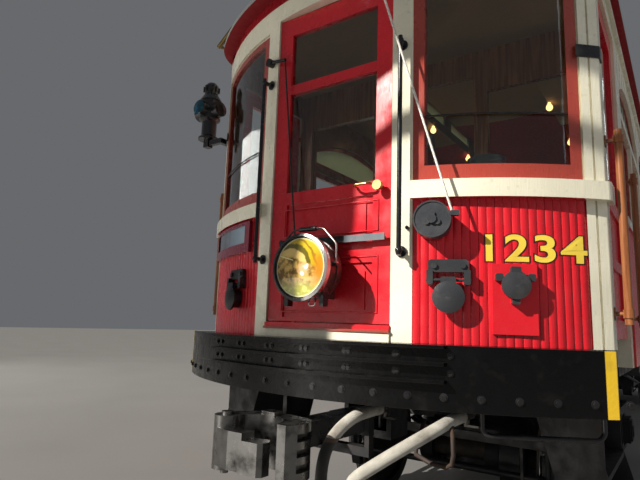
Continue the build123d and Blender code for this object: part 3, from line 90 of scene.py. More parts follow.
def wall_frame(x, z, out=0.0, end=FRONT):
    """Matrix whose x runs to the viewer's right along the wall, y up and z outwards."""
    turn = asin(x / bow_radius)
    outward = Vector((sin(turn), -cos(turn), 0))
    along = Vector((cos(turn), sin(turn), 0))
    made = Matrix.Identity(4)
    for column, axis in enumerate((along, Vector((0, 0, 1)), outward)):
        made.col[column][:3] = axis
    made.col[3][:3] = Vector((x, wall_y(x), z)) + outward * out
    return made if end == FRONT else Matrix.Rotation(pi, 4, "Z") @ made


print("deck", round(deck, 3), "plate", round(plate, 3), "bow radius", round(bow_radius, 3))

# %% [markdown]
# Every new piece goes into the scene in the same way: its object is linked, and it rides on a body of the
# car. Curves, texts and modifiers are turned into plain meshes as soon as they have their shape.

# %% Helpers for every piece
def put(name, data, body=None):
    """Links a new object; a finished mesh rides on a body."""
    made = bpy.data.objects.new(name, data)
    bpy.context.scene.collection.objects.link(made)
    if body:
        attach(made, body)
        print(name, "on", body, len(data.polygons), "faces")
    return made


def plain_mesh(thing, keep=False):
    """The mesh that an object's curve, text or modifiers make; the object goes unless it is kept."""
    bpy.context.view_layer.update()
    mesh = bpy.data.meshes.new_from_object(thing.evaluated_get(bpy.context.evaluated_depsgraph_get()))
    if not keep:
        bpy.data.objects.remove(thing)
    return mesh


def dress(mesh, finish):
    """Gives a mesh one finish, in place of any it has."""
    mesh.materials.clear()
    mesh.materials.append(finish)
    return mesh


def mesh_of(shape, name, finish=None):
    """The mesh of a bmesh, with its seams closed, its faces turned outwards and its finish on."""
    bmesh.ops.remove_doubles(shape, verts=shape.verts, dist=0.000001)
    bmesh.ops.recalc_face_normals(shape, faces=shape.faces)
    mesh = bpy.data.meshes.new(name)
    shape.to_mesh(mesh)
    shape.free()
    return dress(mesh, finish) if finish else mesh


def mesh_from(name, points, faces, finish):
    """The mesh of plain lists of points and faces, with its finish on."""
    mesh = bpy.data.meshes.new(name)
    mesh.from_pydata(points, [], faces)
    return dress(mesh, finish)


def path_object(name, lines, kind="POLY"):
    """Lines of points as the splines of one curve object."""
    data = bpy.data.curves.new(name, "CURVE")
    data.dimensions = "3D"
    for line in lines:
        spline = data.splines.new(kind)
        spline.points.add(len(line) - 1)
        for knot, place in zip(spline.points, line):
            knot.co = (*place, 1)
    return put(name, data)


def thicken(curve, diameter, rings):
    """Gives a curve object a round section and closed ends."""
    curve.data.bevel_depth, curve.data.bevel_resolution, curve.data.use_fill_caps = diameter / 2, rings, True


# %% [markdown]
# The camera stands low and close to the front right corner, looking up and to the left. A short lens so near
# gives the strong lean of the posts. It is made first; the routes of the cords were measured against what it
# sees.

# %% Camera
eye = Vector((1.601, -9.868, 1.432))
look_left, look_up, lean = 0.616, 0.162, 0.034       # radians
ahead = Vector((-sin(look_left) * cos(look_up), cos(look_left) * cos(look_up), sin(look_up)))
level = Vector((cos(look_left), sin(look_left), 0))
upright = level.cross(ahead)
camera_data = bpy.data.cameras.new("low_view")
camera_data.lens, camera_data.sensor_width = 29.13, 36.0
camera = bpy.context.scene.camera = put("low_view", camera_data)
view_axes = (cos(lean) * level + sin(lean) * upright, -sin(lean) * level + cos(lean) * upright, -ahead)
camera.matrix_world = Matrix.Translation(eye) @ Matrix([list(a) for a in view_axes]).transposed().to_4x4()
print("camera", [round(x, 2) for x in eye], "lens", camera_data.lens, "mm")

# %% [markdown]
# Node trees are built in code, so one helper adds a node, sets its options and fills its sockets, either
# with a plain value or with another node's output. Materials and Geometry Nodes both use it.

# %% A helper for every node tree
def add_node(tree, kind, inputs=None, **options):
    """Adds one node and fills its sockets, by name or number, from values or other sockets."""
    node = tree.nodes.new(kind)
    for option, value in options.items():
        setattr(node, option, value)
    for key, value in (inputs or {}).items():
        socket = node.inputs[key]
        if isinstance(value, bpy.types.NodeSocket):
            tree.links.new(value, socket)
        else:
            socket.default_value = value
    return node


# %% [markdown]
# Real paint is never one colour. Each finish starts from the same few moves: a place on the piece, a cloud
# of noise at some scale, a mix of two colours by that cloud, and a bump so that light breaks on the
# surface. The place is the piece's Object coordinate, which is the car's own frame in metres, so that a
# scale of 40 means forty blotches to a metre everywhere.

# %% Moves that every finish uses
def sums(tree, kind, *values):
    """One math node."""
    return add_node(tree, "ShaderNodeMath", dict(enumerate(values)), operation=kind).outputs[0]


class Finish:
    """A material in the making; constant sockets of its shader go by their names."""

    def __init__(self, name, **sockets):
        self.material = bpy.data.materials.new(name)
        self.material.use_nodes = True
        self.tree = self.material.node_tree
        self.shader = self.tree.nodes["Principled BSDF"]
        for socket, value in sockets.items():
            self.shader.inputs[socket.replace("_", " ")].default_value = value
        self.place = self.add("ShaderNodeTexCoord").outputs["Object"]

    def add(self, kind, inputs=None, **options):
        """One node of this finish."""
        return add_node(self.tree, kind, inputs, **options)

    def done(self, **links):
        """The material, once sockets of its shader are linked by their names."""
        for socket, value in links.items():
            self.tree.links.new(value, self.shader.inputs[socket.replace("_", " ")])
        return self.material

    def cloud(self, scale, detail=4.0, stretch=(1, 1, 1)):
        """Noise between 0 and 1 at a scale per metre, drawn out along an axis by a small stretch."""
        mapped = self.add("ShaderNodeMapping", {"Vector": self.place, "Scale": stretch})
        noise = {"Vector": mapped.outputs[0], "Scale": scale, "Detail": detail}
        return self.add("ShaderNodeTexNoise", noise).outputs["Fac"]

    def ramp(self, factor, low, high, to_low=0.0, to_high=1.0):
        """Factor spread from between low and high to between two other values, and clamped there."""
        return self.add("ShaderNodeMapRange", {0: factor, 1: low, 2: high, 3: to_low, 4: to_high}).outputs[0]

    def patch(self, scale, detail, *limits, stretch=(1, 1, 1)):
        """A cloud and its ramp."""
        return self.ramp(self.cloud(scale, detail, stretch), *limits)

    def gloss(self, low, high, scale=14):
        """Roughness that comes and goes between two values."""
        return self.patch(scale, 6, 0.3, 0.7, low, high)

    def blotched(self, colour):
        """A colour a little darker here and lighter there, in blotches as wide as a hand is long."""
        return self.mix(self.patch(2.2, 6, 0.35, 0.7), shade(colour, 0.86), shade(colour, 1.10))

    def mix(self, factor, first, second):
        """Two colours mixed by a factor; a plain colour is three numbers."""
        node = self.add("ShaderNodeMix", data_type="RGBA")
        for socket, value in ((0, factor), (6, first), (7, second)):
            if isinstance(value, bpy.types.NodeSocket):
                self.tree.links.new(value, node.inputs[socket])
            else:
                node.inputs[socket].default_value = value if socket == 0 else (*value, 1)
        return node.outputs[2]

    def bump(self, height, depth):
        """Bump of a real depth in metres."""
        self.done(Normal=self.add("ShaderNodeBump", {"Height": height, "Distance": depth}).outputs[0])

    def vector(self, kind, *values, result=0):
        """One vector math node."""
        return self.add("ShaderNodeVectorMath", dict(enumerate(values)), operation=kind).outputs[result]

    def split(self, vector):
        """The three coordinates of a vector."""
        return self.add("ShaderNodeSeparateXYZ", {0: vector}).outputs

    @property
    def xyz(self):
        """The three coordinates of the place."""
        return self.split(self.place)

    def wave(self, scale, **options):
        """Bands at a scale per metre."""
        inputs = {"Vector": self.place, "Scale": scale, "Distortion": options.pop("distortion", 0.0)}
        return self.add("ShaderNodeTexWave", inputs, **options).outputs["Fac"]

    def away(self, centre, axes="XYZ", place=None):
        """Distance from a point, measured along the named axes only."""
        moved = self.vector("SUBTRACT", place or self.place, centre)
        flat = self.vector("MULTIPLY", moved, [1.0 if axis in axes else 0.0 for axis in "XYZ"])
        return self.vector("LENGTH", flat, result="Value")

    def behind_bow(self, depth):
        """1 further in than a depth behind the bowed end wall's face."""
        either = self.vector("ABSOLUTE", self.place)
        return self.below(self.away((0, bow_middle, 0), "XY", either), bow_radius - depth)

    def inside(self, low, high):
        """1 within a box between two corners, and 0 outside it."""
        spans = enumerate(zip(low, high))
        found = [self.near(self.xyz[axis], (a + b) / 2, (b - a) / 2) for axis, (a, b) in spans]
        return self.times(self.times(found[0], found[1]), found[2])


MATH_WORDS = {
    "times": "MULTIPLY", "plus": "ADD", "minus": "SUBTRACT", "share": "DIVIDE", "most": "MAXIMUM",
    "size": "ABSOLUTE", "whole": "FLOOR", "below": "LESS_THAN", "over": "GREATER_THAN", "near": "COMPARE",
}
for word, kind in MATH_WORDS.items():
    setattr(Finish, word, lambda self, *values, kind=kind: sums(self.tree, kind, *values))

# %% [markdown]
# Enamel on wood is brushed on in long strokes and flows out to a gloss. The red has faded a little where
# the weather reached it, and specks of dirt sit in a faint cloud. The same function paints the walls'
# cream, the doors, the boards, the sashes and the headlight's drum, with other colours and other depths of
# stroke.

# %% Brushed enamel
RED, DARK_RED, MAROON = (0.62, 0.012, 0.022), (0.30, 0.010, 0.016), (0.36, 0.052, 0.036)
CREAM, BLACK, GREY = (0.80, 0.76, 0.60), (0.012, 0.012, 0.014), (0.30, 0.30, 0.29)


def shade(colour, share):
    """A colour made darker or lighter."""
    return tuple(min(1.0, c * share) for c in colour)


def drawn(along, share):
    """A stretch that draws noise out along an axis."""
    return [share if axis == along else 1.0 for axis in "XYZ"]


def brushed(f, colour, stroke=0.0004, along="Z", dirt=0.35):
    """Base colour with blotches, dirt and brush strokes along an axis; returns the colour's socket."""
    specks = f.patch(34, 8, 0.60, 0.74, 0, dirt)
    f.bump(f.patch(160, 3, 0.3, 0.7, stretch=drawn(along, 0.08)), stroke)
    f.done(Roughness=f.patch(9, 6, 0.3, 0.75, 0.16, 0.42))
    return f.mix(specks, f.blotched(colour), shade(colour, 0.55))


def enamel(name, colour, stroke=0.0004, along="Z", dirt=0.35, coat=0.35):
    """A material of one brushed enamel."""
    f = Finish(name, Coat_Weight=coat, Coat_Roughness=0.12)
    return f.done(Base_Color=brushed(f, colour, stroke, along, dirt))


# %% [markdown]
# One wall solid carries more than one colour: cream posts, a dark red fascia over the head band and
# boarded panels below the belt. A box test on the coordinate tells the colours apart, as masking tape
# would.

# %% Walls in cream and red
def wall_finish(name, bands, lining_x, lining_depth, lining=(0.33, 0.14, 0.05)):
    """Cream enamel, with boxes of other colours as (low corner, high corner, colour)."""
    f = Finish(name, Coat_Weight=0.3, Coat_Roughness=0.15)
    base = brushed(f, CREAM, 0.0003)
    for low, high, colour in bands:
        base = f.mix(f.inside(low, high), base, f.blotched(colour))
    grain = f.patch(50, 6, 0.35, 0.7, stretch=drawn("Z", 0.05))
    room = f.times(f.inside((-lining_x, -far, 0), (lining_x, far, far)), f.behind_bow(lining_depth))
    return f.done(Base_Color=f.mix(room, base, f.mix(grain, lining, shade(lining, 0.55))))


head_band = deck + 2.090                 # its upper edge
panel_z, sill_z = (deck + 0.001, belt[0]), (deck + 0.044, deck + 0.081)
end_bands = [((-far, -far, head_band), (far, far, far), DARK_RED)]
for x0, x1, (z0, z1) in ((-panel_x, -post_x, panel_z), (post_x, panel_x, panel_z), (-door_x, door_x, sill_z)):
    for y0, y1 in ((-far, -end_y), (end_y, far)):
        end_bands.append(((x0, y0, z0), (x1, y1, z1), RED))
end_walls = wall_finish("enamel_end_walls", end_bands, far, 0.055)
side_walls = wall_finish("enamel_side_walls", [
    ((-far, -6.09, 0), (far, 6.09, belt[0] + 0.04), RED),
    ((-far, -far, deck + 2.122), (far, far, far), DARK_RED),
], 1.2405, 0.030)

# %% [markdown]
# Iron is painted black and shows worn metal along its edges, where hands and weather rub it. A Bevel node
# bends the normal only near an edge, so the difference from the true normal tells the edges from the
# flats. Bare metal is the other way round: it is bright where it is rubbed, and stained in its hollows.

# %% Iron, steel and brass
def edges(f, radius=0.004):
    """1 along the edges of a piece, where hands and weather rub it, and 0 on its flats."""
    rounded = f.add("ShaderNodeBevel", {"Radius": radius}, samples=4).outputs[0]
    flat = f.add("ShaderNodeNewGeometry").outputs["Normal"]
    return f.ramp(f.vector("DOT_PRODUCT", rounded, flat, result="Value"), 0.985, 0.90)


def iron(name, colour=BLACK, worn=(0.16, 0.14, 0.125), wear=0.25, rough=(0.28, 0.55), pits=0.0008, metal=0.0):
    """Black paint over cast or rolled iron, with rubbed patches and a rough skin."""
    f = Finish(name, Metallic=metal)
    rubbed = f.times(edges(f), f.patch(30, 6, 0.42, 0.6, 0, min(1.0, 2 * wear)))
    patch = f.most(f.patch(7, 10, 0.56, 0.70, 0, wear), rubbed)
    base = f.mix(patch, f.mix(f.cloud(1.7), shade(colour, 0.7), shade(colour, 1.5)), worn)
    f.bump(f.cloud(90, 6), pits)
    return f.done(Base_Color=base, Roughness=f.gloss(*rough))


def bare_metal(name, colour, rough=(0.18, 0.38), stain=(0.10, 0.07, 0.04), amount=0.5):
    """Bare metal with stains in its hollows and fine scratches."""
    f = Finish(name, Metallic=1.0)
    patch = f.times(f.patch(11, 8, 0.5, 0.72, 0, amount), f.ramp(edges(f), 0.1, 0.8, 1.0, 0.15))
    f.bump(f.cloud(420, 2, drawn("Z", 0.04)), 0.0002)
    return f.done(Base_Color=f.mix(patch, colour, stain),
                  Roughness=f.patch(25, 5, 0.3, 0.7, *rough))


gloss_black = iron("gloss_black_iron", wear=0.12, rough=(0.16, 0.34), pits=0.0004)
cast_black = iron("cast_black_iron", wear=0.35)
under_black = iron("underframe_black", shade(BLACK, 0.7), (0.045, 0.033, 0.026), 0.5, (0.35, 0.7))
worn_steel = bare_metal("worn_coupler_steel", (0.20, 0.197, 0.193), (0.22, 0.42), (0.016, 0.014, 0.013), 0.97)
brass = bare_metal("handled_brass", (0.78, 0.56, 0.24), (0.14, 0.30), (0.42, 0.24, 0.08), 0.4)
rust = iron("rusty_pipe", (0.022, 0.012, 0.008), worn=(0.05, 0.026, 0.014), wear=0.8, rough=(0.6, 0.9))

# %% [markdown]
# Varnished wood has its grain drawn out along each board. The roof is canvas under thick paint, and its
# material tells the outside from the ceiling by the way the surface faces.

# %% Wood and canvas
def varnished(name, light, dark, along="Z", gloss=(0.18, 0.36)):
    """Clear varnish over grain that runs along an axis."""
    f = Finish(name, Coat_Weight=0.5, Coat_Roughness=0.1)
    grain = f.patch(55, 8, 0.32, 0.68, stretch=drawn(along, 0.05))
    pores = f.cloud(420, 3, drawn(along, 0.05))
    base = f.mix(grain, dark, light)
    f.bump(pores, 0.0003)
    return f.done(Base_Color=f.mix(f.ramp(pores, 0.58, 0.7, 0, 0.5), base, shade(dark, 0.6)),
                  Roughness=f.ramp(grain, 0, 1, *gloss))


rail_wood = varnished("varnished_handrail", (0.33, 0.12, 0.04), (0.15, 0.045, 0.015))
inner_wood = varnished("varnished_bulkhead", (0.32, 0.14, 0.05), (0.16, 0.06, 0.02))
walk_wood = varnished("weathered_walk_boards", (0.23, 0.18, 0.13), (0.12, 0.09, 0.065), "Y", (0.6, 0.85))
floor_wood = varnished("oiled_floor_boards", (0.20, 0.13, 0.075), (0.10, 0.06, 0.035), "Y", (0.4, 0.6))
sash_wood = enamel("maroon_sash_enamel", MAROON, 0.0005, dirt=0.2, coat=0.5)


def roof_finish(name):
    """Painted canvas outside; the ceiling that faces down inside is cream board."""
    f = Finish(name)
    crinkle = f.plus(f.cloud(26, 10), f.times(f.wave(60.0, distortion=2.0), 0.06))
    canvas = f.mix(f.patch(1.3, 8, 0.3, 0.7), (0.085, 0.083, 0.08), (0.16, 0.155, 0.145))
    streak = f.patch(5, 6, 0.55, 0.75, 0, 0.5, stretch=drawn("X", 0.15))
    canvas = f.mix(streak, canvas, (0.055, 0.052, 0.048))
    facing = f.split(f.add("ShaderNodeNewGeometry").outputs["Normal"])[2]
    canvas = f.mix(f.inside((-far, -far, 0), (far, far, plate + 0.031)), canvas, GREY)
    ceiling = f.mix(f.behind_bow(0.035), DARK_RED, (0.36, 0.25, 0.13))
    inner = f.ramp(f.size(f.xyz[0]), half_width - 0.01, half_width - 0.012)
    f.bump(crinkle, 0.0025)
    return f.done(Base_Color=f.mix(f.ramp(facing, -0.2, -0.5), canvas, f.mix(inner, DARK_RED, ceiling)),
                  Roughness=f.ramp(crinkle, 0.3, 0.8, 0.55, 0.9))


roof_canvas = roof_finish("painted_roof_canvas")

# %% [markdown]
# Glass in a window is a thin sheet: it lets the cab show and still mirrors what stands around. The arched
# lights and the clerestory have pale rolled glass that scatters what is behind it. Old panes are never
# quite flat, so a slow wave bends their reflections.

# %% Glass
def glass(name, colour, rough=0.0, wave=0.0004, scale=3.0, clear=1.0):
    """Thin glass with a slow wave."""
    f = Finish(name, Base_Color=(*colour, 1), Roughness=rough, Transmission_Weight=clear, IOR=1.45)
    f.bump(f.cloud(scale, 2), wave)
    return f.material


window_pane = glass("window_glass", (0.93, 0.96, 0.95))
rolled_pane = glass("rolled_glass", (0.62, 0.66, 0.42), 0.35, 0.004, 45.0, 0.75)

# %% [markdown]
# Some solids are more than one thing. An end door comes with its hinges, strap and handle, and a wheel
# with its bright tread. Each gets a finish that tells the parts apart by where they lie.

# %% Doors and wheels
def door_finish(name, side):
    """Red enamel on the leaf; what stands in front of its face is black iron, painted grey right of a line on
    the front door as a painted highlight, and the handle is brass.
    """
    f = Finish(name, Coat_Weight=0.4, Coat_Roughness=0.1)
    base = brushed(f, RED, 0.0004, "Z", 0.25)
    (y0, y1), (x0, x1) = sorted((side * 7.5465, side * 9.0)), sorted((-side * 0.165, -side * 0.40))
    back = sorted((side * 7.0, side * 7.508))
    fittings = f.inside((-1, y0, 0), (1, y1, 3))
    handle = f.inside((x0, y0, deck + 0.75), (x1, y1, deck + 0.85))
    indoors = f.inside((-1, back[0], 0), (1, back[1], 4))
    # Painted highlight: on the front door the iron right of x 0.135 is painted grey, where the sun falls;
    # left of it stays black.
    sunlit_strap = f.ramp(f.xyz[0], 0.135, 0.137) if side < 0 else 0.0
    base = f.mix(fittings, base, f.mix(sunlit_strap, (0.018, 0.018, 0.020), (0.15, 0.165, 0.18)))
    base = f.mix(handle, base, (0.42, 0.29, 0.12))
    return f.done(Base_Color=f.mix(indoors, base, (0.30, 0.13, 0.05)), Metallic=handle)


def wheel_finish(name, centre_y):
    """Black wheel with a bright tread, centred on its axle."""
    f = Finish(name)
    tread = f.ramp(f.away((0, centre_y, 0.457), "YZ"), 0.424, 0.430)
    outer = f.times(tread, f.ramp(f.size(f.xyz[0]), 0.70, 0.702))
    dull = f.mix(f.patch(8, 8, 0.45, 0.7), (0.030, 0.026, 0.023), (0.085, 0.06, 0.042))
    f.bump(f.cloud(70, 6), 0.0008)
    return f.done(Base_Color=f.mix(outer, dull, (0.42, 0.41, 0.40)), Metallic=outer,
                  Roughness=f.ramp(outer, 0, 1, 0.62, 0.24))


# %% [markdown]
# The marker lamps, the bumpers and the sockets are black iron, each with one thing on it that isn't: a
# coloured lens, a yellow tip, or a board in the red of the panel behind it.

# %% Lamps, bumpers and sockets
lamp_x, lamp_y, lamp_z = -1.490, -7.120, 3.120
BLUE_GLASS, RED_GLASS = (0.003, 0.045, 0.075), (0.016, 0.002, 0.003)


def lamp_finish(name):
    """Black lamp; each lens has its own coloured glass, with a painted highlight near a spot above and left
    of its middle.
    """
    f = Finish(name, Coat_Weight=0.4)
    base = f.mix(f.patch(7, 10, 0.56, 0.7, 0, 0.3), shade(BLACK, 1.2), (0.14, 0.12, 0.10))
    gloss = f.gloss(0.2, 0.4)
    lenses = ((0.112, 0, RED_GLASS), (-0.112, 0, RED_GLASS), (0, -0.112, BLUE_GLASS))
    for end in (FRONT, REAR):
        for side_x, side_y, colour in lenses:
            centre = (end * (lamp_x + side_x), end * (lamp_y + side_y), lamp_z)
            lens = f.below(f.away(centre), 0.0512)
            # Painted highlight: each lens is painted paler towards a spot a little above and left of its
            # middle.
            lens_highlight = f.ramp(f.away((centre[0] - 0.012, centre[1], centre[2] + 0.015)), 0.0, 0.05)
            base = f.mix(lens, base, f.mix(lens_highlight, shade(colour, 1.8), colour))
            gloss = f.mix(lens, gloss, (0.04, 0.04, 0.04))
    return f.done(Base_Color=base, Roughness=gloss)


def bumper_finish(name):
    """Black bumper whose ends are painted yellow."""
    f = Finish(name, Specular_IOR_Level=0.25)
    tip = f.ramp(f.size(f.xyz[0]), 1.300, 1.302)
    scuffs = f.most(f.patch(9, 10, 0.58, 0.72, 0, 0.3), f.ramp(edges(f), 0.2, 1.0, 0, 0.5))
    black = f.mix(scuffs, shade(BLACK, 0.15), (0.02, 0.018, 0.016))
    yellow = f.mix(scuffs, (0.78, 0.50, 0.03), (0.30, 0.18, 0.04))
    f.bump(f.cloud(60, 6), 0.0008)
    return f.done(Base_Color=f.mix(tip, black, yellow), Roughness=f.gloss(0.16, 0.36))


def socket_finish(name):
    """Cast black sockets on a board painted like the panel behind it; left of the middle the iron is painted
    darker, as painted shade.
    """
    f = Finish(name)
    board = f.inside((0.84, -far, deck + 0.05), (1.06, 0, deck + 0.39))
    flush = f.times(board, f.behind_bow(-0.0145))
    scuffs = f.patch(9, 10, 0.56, 0.7, 0, 0.4)
    # Painted shade: the iron is painted darker left of the middle than right of it, where the sun falls.
    sunny = f.ramp(f.xyz[0], -0.1, 0.1)
    iron_black = f.mix(scuffs, f.mix(sunny, shade(BLACK, 0.6), (0.032, 0.034, 0.038)), (0.10, 0.09, 0.085))
    f.bump(f.cloud(90, 6), 0.0006)
    return f.done(Base_Color=f.mix(flush, iron_black, RED), Roughness=f.gloss(0.22, 0.45))


# %% [markdown]
# The air gear hangs black under the floor, but its whistle is brass. The headlight has a brown-red drum, a
# bezel painted bright on its right half as a painted highlight, a black hoop and feet, and a bare wire down
# its right side.

# %% Air gear and headlight
light = Vector((0, -7.775, 1.718))       # middle of the headlight's front


def gear_finish(name):
    """Black air gear under the floor and a brass whistle on the hood."""
    f = Finish(name)
    high = f.ramp(f.xyz[2], 3.0, 3.01)
    stain = f.patch(11, 8, 0.5, 0.72, 0, 0.5)
    dull = f.mix(stain, shade(BLACK, 0.8), (0.05, 0.036, 0.028))
    return f.done(Base_Color=f.mix(high, dull, f.mix(stain, (0.34, 0.23, 0.08), (0.16, 0.09, 0.03))),
                  Metallic=high, Roughness=f.ramp(high, 0, 1, 0.6, 0.22))


def headlight_finish(name):
    """Brown-red drum, black hoop and feet, a bare wire down its right side, and a bezel painted bright on its
    right half: a painted highlight.
    """
    f = Finish(name, Coat_Weight=0.2)
    x, y, z = f.xyz
    out = f.away(light, "XZ")
    drum = brushed(f, (0.085, 0.030, 0.026), 0.0004)
    bezel = f.times(f.below(y, light[1] + 0.0215), f.over(out, 0.154))
    proud = f.over(out, 0.1755)
    right_top = f.times(f.ramp(x, 0.100, 0.102), f.ramp(z, light[2] + 0.020, light[2] + 0.022))
    foot = f.inside((0.015, -9, light[2] - 0.25), (0.07, -7, light[2] - 0.175))
    # Painted highlight: the bezel's right half is bright metal and its left half black; the wire and a patch
    # of one foot are bright metal too.
    highlight_and_bare_metal = f.most(f.times(bezel, f.ramp(x, 0.020, 0.050)), f.most(f.times(proud, right_top), foot))
    base = f.mix(f.most(proud, bezel), drum, shade(BLACK, 1.3))
    return f.done(Base_Color=f.mix(highlight_and_bare_metal, base, (0.70, 0.69, 0.67)), Metallic=highlight_and_bare_metal)


# %% [markdown]
# With the finishes on the shelf, each solid gets its own. A table pairs a finish with the solids that wear
# it.

# %% Give each solid its finish
def pairs(pattern, seconds=("left", "right")):
    """Names made from front or rear and a second word."""
    return [pattern.format(end, second) for end in ("front", "rear") for second in seconds]


finishes = {
    end_walls: ["end_wall_front", "end_wall_rear"],
    side_walls: ["side_wall_left", "side_wall_right"],
    gloss_black: ["grab_rails", "trolley_pole_front", "trolley_pole_rear"],
    bumper_finish("bumper_paint"): ["bumpers"],
    lamp_finish("marker_lamp_paint"): ["marker_lamps"],
    socket_finish("socket_paint"): ["jumper_sockets"],
    gear_finish("air_gear_paint"): ["air_gear"],
    headlight_finish("headlight_paint"): ["headlight"],
    iron("catcher_iron", (0.034, 0.037, 0.043), wear=0.2): ["trolley_catchers"],
    cast_black: ["cab_controls", "seat_frames"],
    under_black: ["underframe", "control_boxes", "side_steps"] + pairs("truck_{}_{}", ("frame", "motors")),
    worn_steel: ["coupler_front", "coupler_rear"],
    bare_metal("cock_metal", (0.15, 0.14, 0.13), (0.25, 0.45), (0.03, 0.025, 0.022), 0.9): ["angle_cocks"],
    rail_wood: ["side_handrails"],
    inner_wood: ["bulkheads"],
    walk_wood: ["roof_walk"],
    floor_wood: ["floor"],
    sash_wood: ["window_sashes"],
    roof_canvas: ["lower_roof", "clerestory"],
    window_pane: ["window_glass", "end_door_front_glass", "end_door_rear_glass",
                  *pairs("side_door_{}_{}_glass")],
    rolled_pane: ["art_glass"],
    enamel("enamel_side_doors", RED): pairs("side_door_{}_{}"),
    enamel("enamel_board", (0.20, 0.020, 0.042)): ["sign_box"],
    door_finish("enamel_front_door", -1): ["end_door_front"],
    door_finish("enamel_rear_door", 1): ["end_door_rear"],
}
for number, centre in enumerate((-5.436, -3.404, 3.404, 5.436), 1):
    finishes[wheel_finish(f"wheel_steel_{number}", centre)] = [f"wheelset_{number}"]
for finish, names in finishes.items():
    for name in names:
        dress(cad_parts[name].data, finish)
print(sum(len(n) for n in finishes.values()), "solids have a finish")

# %% [markdown]
# Couplings, bulbs and lenses are turned pieces. One function spins a profile about an axis, wherever it is
# asked to. Lenses share one profile, a shallow dome over a thin edge.

# %% A turned piece
def lathe(name, profile, places, finish, body, steps=40):
    """Turned pieces: pairs of radius and height, spun about the z of each matrix."""
    shape = bmesh.new()
    for place in places:
        rows = []
        for radius, height in profile:
            turns = [tau * k / steps for k in range(steps if radius > 0 else 1)]
            spots = [Vector((radius * cos(turn), radius * sin(turn), height)) for turn in turns]
            rows.append([shape.verts.new(place @ spot) for spot in spots])
        for low, high in zip(rows, rows[1:]):
            for k in range(steps):
                corners = ((low, k), (low, k + 1), (high, k + 1), (high, k))
                ring = dict.fromkeys(row[step % len(row)] for row, step in corners)
                shape.faces.new(list(ring))
    mesh = mesh_of(shape, name, finish)
    mesh.shade_smooth()
    mesh.set_sharp_from_angle(angle=radians(35))
    return put(name, mesh, body)


def domed(radius, rise, steps, edge, back):
    """Profile of a glass that bulges by a rise, with an edge between two heights."""
    bulge = [(radius * k / steps, rise * (1 - (k / steps) ** 2)) for k in range(steps)]
    return bulge + [(radius, edge), (radius, back), (0, back)]


# %% [markdown]
# The cords. Each is a NURBS curve of order three, whose points are the route's own, so that the line flows
# past them in one smooth bend. The two air hoses drop from their cocks to the couplings, in canvas sleeves
# gone grey. The first turns to a brown band and then near black below a height.

# %% A cord as a smooth curve
def cord_curve(name, points, diameter, finish, rings=6):
    """Round cord along a NURBS spline whose control points are the route's points."""
    line = path_object(name, [points], "NURBS")
    thicken(line, diameter, rings)
    line.data.resolution_u = 12
    line.data.splines[0].order_u, line.data.splines[0].use_endpoint_u = 3, True
    dress(line.data, finish)
    return line


def canvas_sleeve(name, darkens_at):
    """Off-white canvas, woven, with grime in a cloud; below a height it turns to a brown band and then near
    black.
    """
    f = Finish(name, Sheen_Weight=0.3, Roughness=0.85)
    weave = f.times(*[f.wave(130.0, distortion=1.5, bands_direction=axis) for axis in "XZ"])
    stain = f.patch(13, 8, 0.42, 0.72, 0, 0.85)
    base = f.mix(stain, (0.46, 0.44, 0.38), (0.20, 0.175, 0.145))
    base = f.mix(f.times(weave, 0.3), base, (0.16, 0.15, 0.13))
    height = f.xyz[2]
    # Darker below a height: a brown band, then near black.
    base = f.mix(f.ramp(height, darkens_at + 0.018, darkens_at + 0.016), base, (0.085, 0.05, 0.03))
    base = f.mix(f.ramp(height, darkens_at, darkens_at - 0.002), base, (0.016, 0.014, 0.013))
    f.bump(weave, 0.001)
    return f.done(Base_Color=base)


# %% [markdown]
# Each hose is listed with its length, the height below which it turns near black, and its route. A coupling
# is a tail that hangs from the hose's end and a head that lies across it.

# %% The two air hoses
rubber = iron("cable_rubber", (0.018, 0.018, 0.018), wear=0.1, rough=(0.45, 0.6), pits=0.0002)
brown_cast = iron("brown_cast_fitting", (0.085, 0.045, 0.025), (0.26, 0.17, 0.11), 0.7, (0.4, 0.7))
hose_d = 0.056
hoses = (                                # length, height below which it turns near black, route
    (0.65, 0.905, [
        (0.320, -7.500, 1.030), (0.320, -7.600, 1.030), (0.292, -7.698, 1.012), (0.248, -7.760, 0.956),
        (0.208, -7.790, 0.880), (0.190, -7.800, 0.795), (0.186, -7.800, 0.705), (0.186, -7.800, 0.615)]),
    (0.98, 0.0, [
        (0.720, -7.440, 1.035), (0.720, -7.545, 1.035), (0.696, -7.655, 1.010), (0.582, -7.780, 0.926),
        (0.480, -7.832, 0.852), (0.388, -7.850, 0.785), (0.332, -7.852, 0.695), (0.312, -7.852, 0.597),
        (0.312, -7.852, 0.500)]),
)
for number, (length, dark_below, route) in enumerate(hoses, 1):
    down = Matrix.Translation(route[-1])
    tail = lathe(f"hose_tail_{number}", [
        (0, 0.004), (0.0300, 0.004), (0.0335, 0.0), (0.0335, -0.024), (0.0300, -0.028), (0.0300, -0.050),
        (0.0225, -0.054), (0.0225, -0.066), (0.0265, -0.070), (0.0265, -0.086), (0, -0.086)],
        [down], brown_cast, "root")
    across = down @ Matrix.Translation((0, -0.034, -0.100)) @ Matrix.Rotation(-pi / 2, 4, "X")
    head = lathe(f"hose_head_{number}", [
        (0, 0.0), (0.024, 0.0), (0.027, 0.004), (0.027, 0.012), (0.040, 0.016), (0.0445, 0.022),
        (0.0445, 0.046), (0.040, 0.052), (0.030, 0.054), (0.028, 0.064), (0.018, 0.068), (0, 0.068)],
        [across], brown_cast, "root")
    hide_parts("hose_couplings")
    sleeve = canvas_sleeve(f"air_hose_{number}_canvas", dark_below)
    hose = cord_curve(f"canvas_hose_{number}", route, hose_d, sleeve)
    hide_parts(f"air_hose_{number}")
    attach(hose, "root")

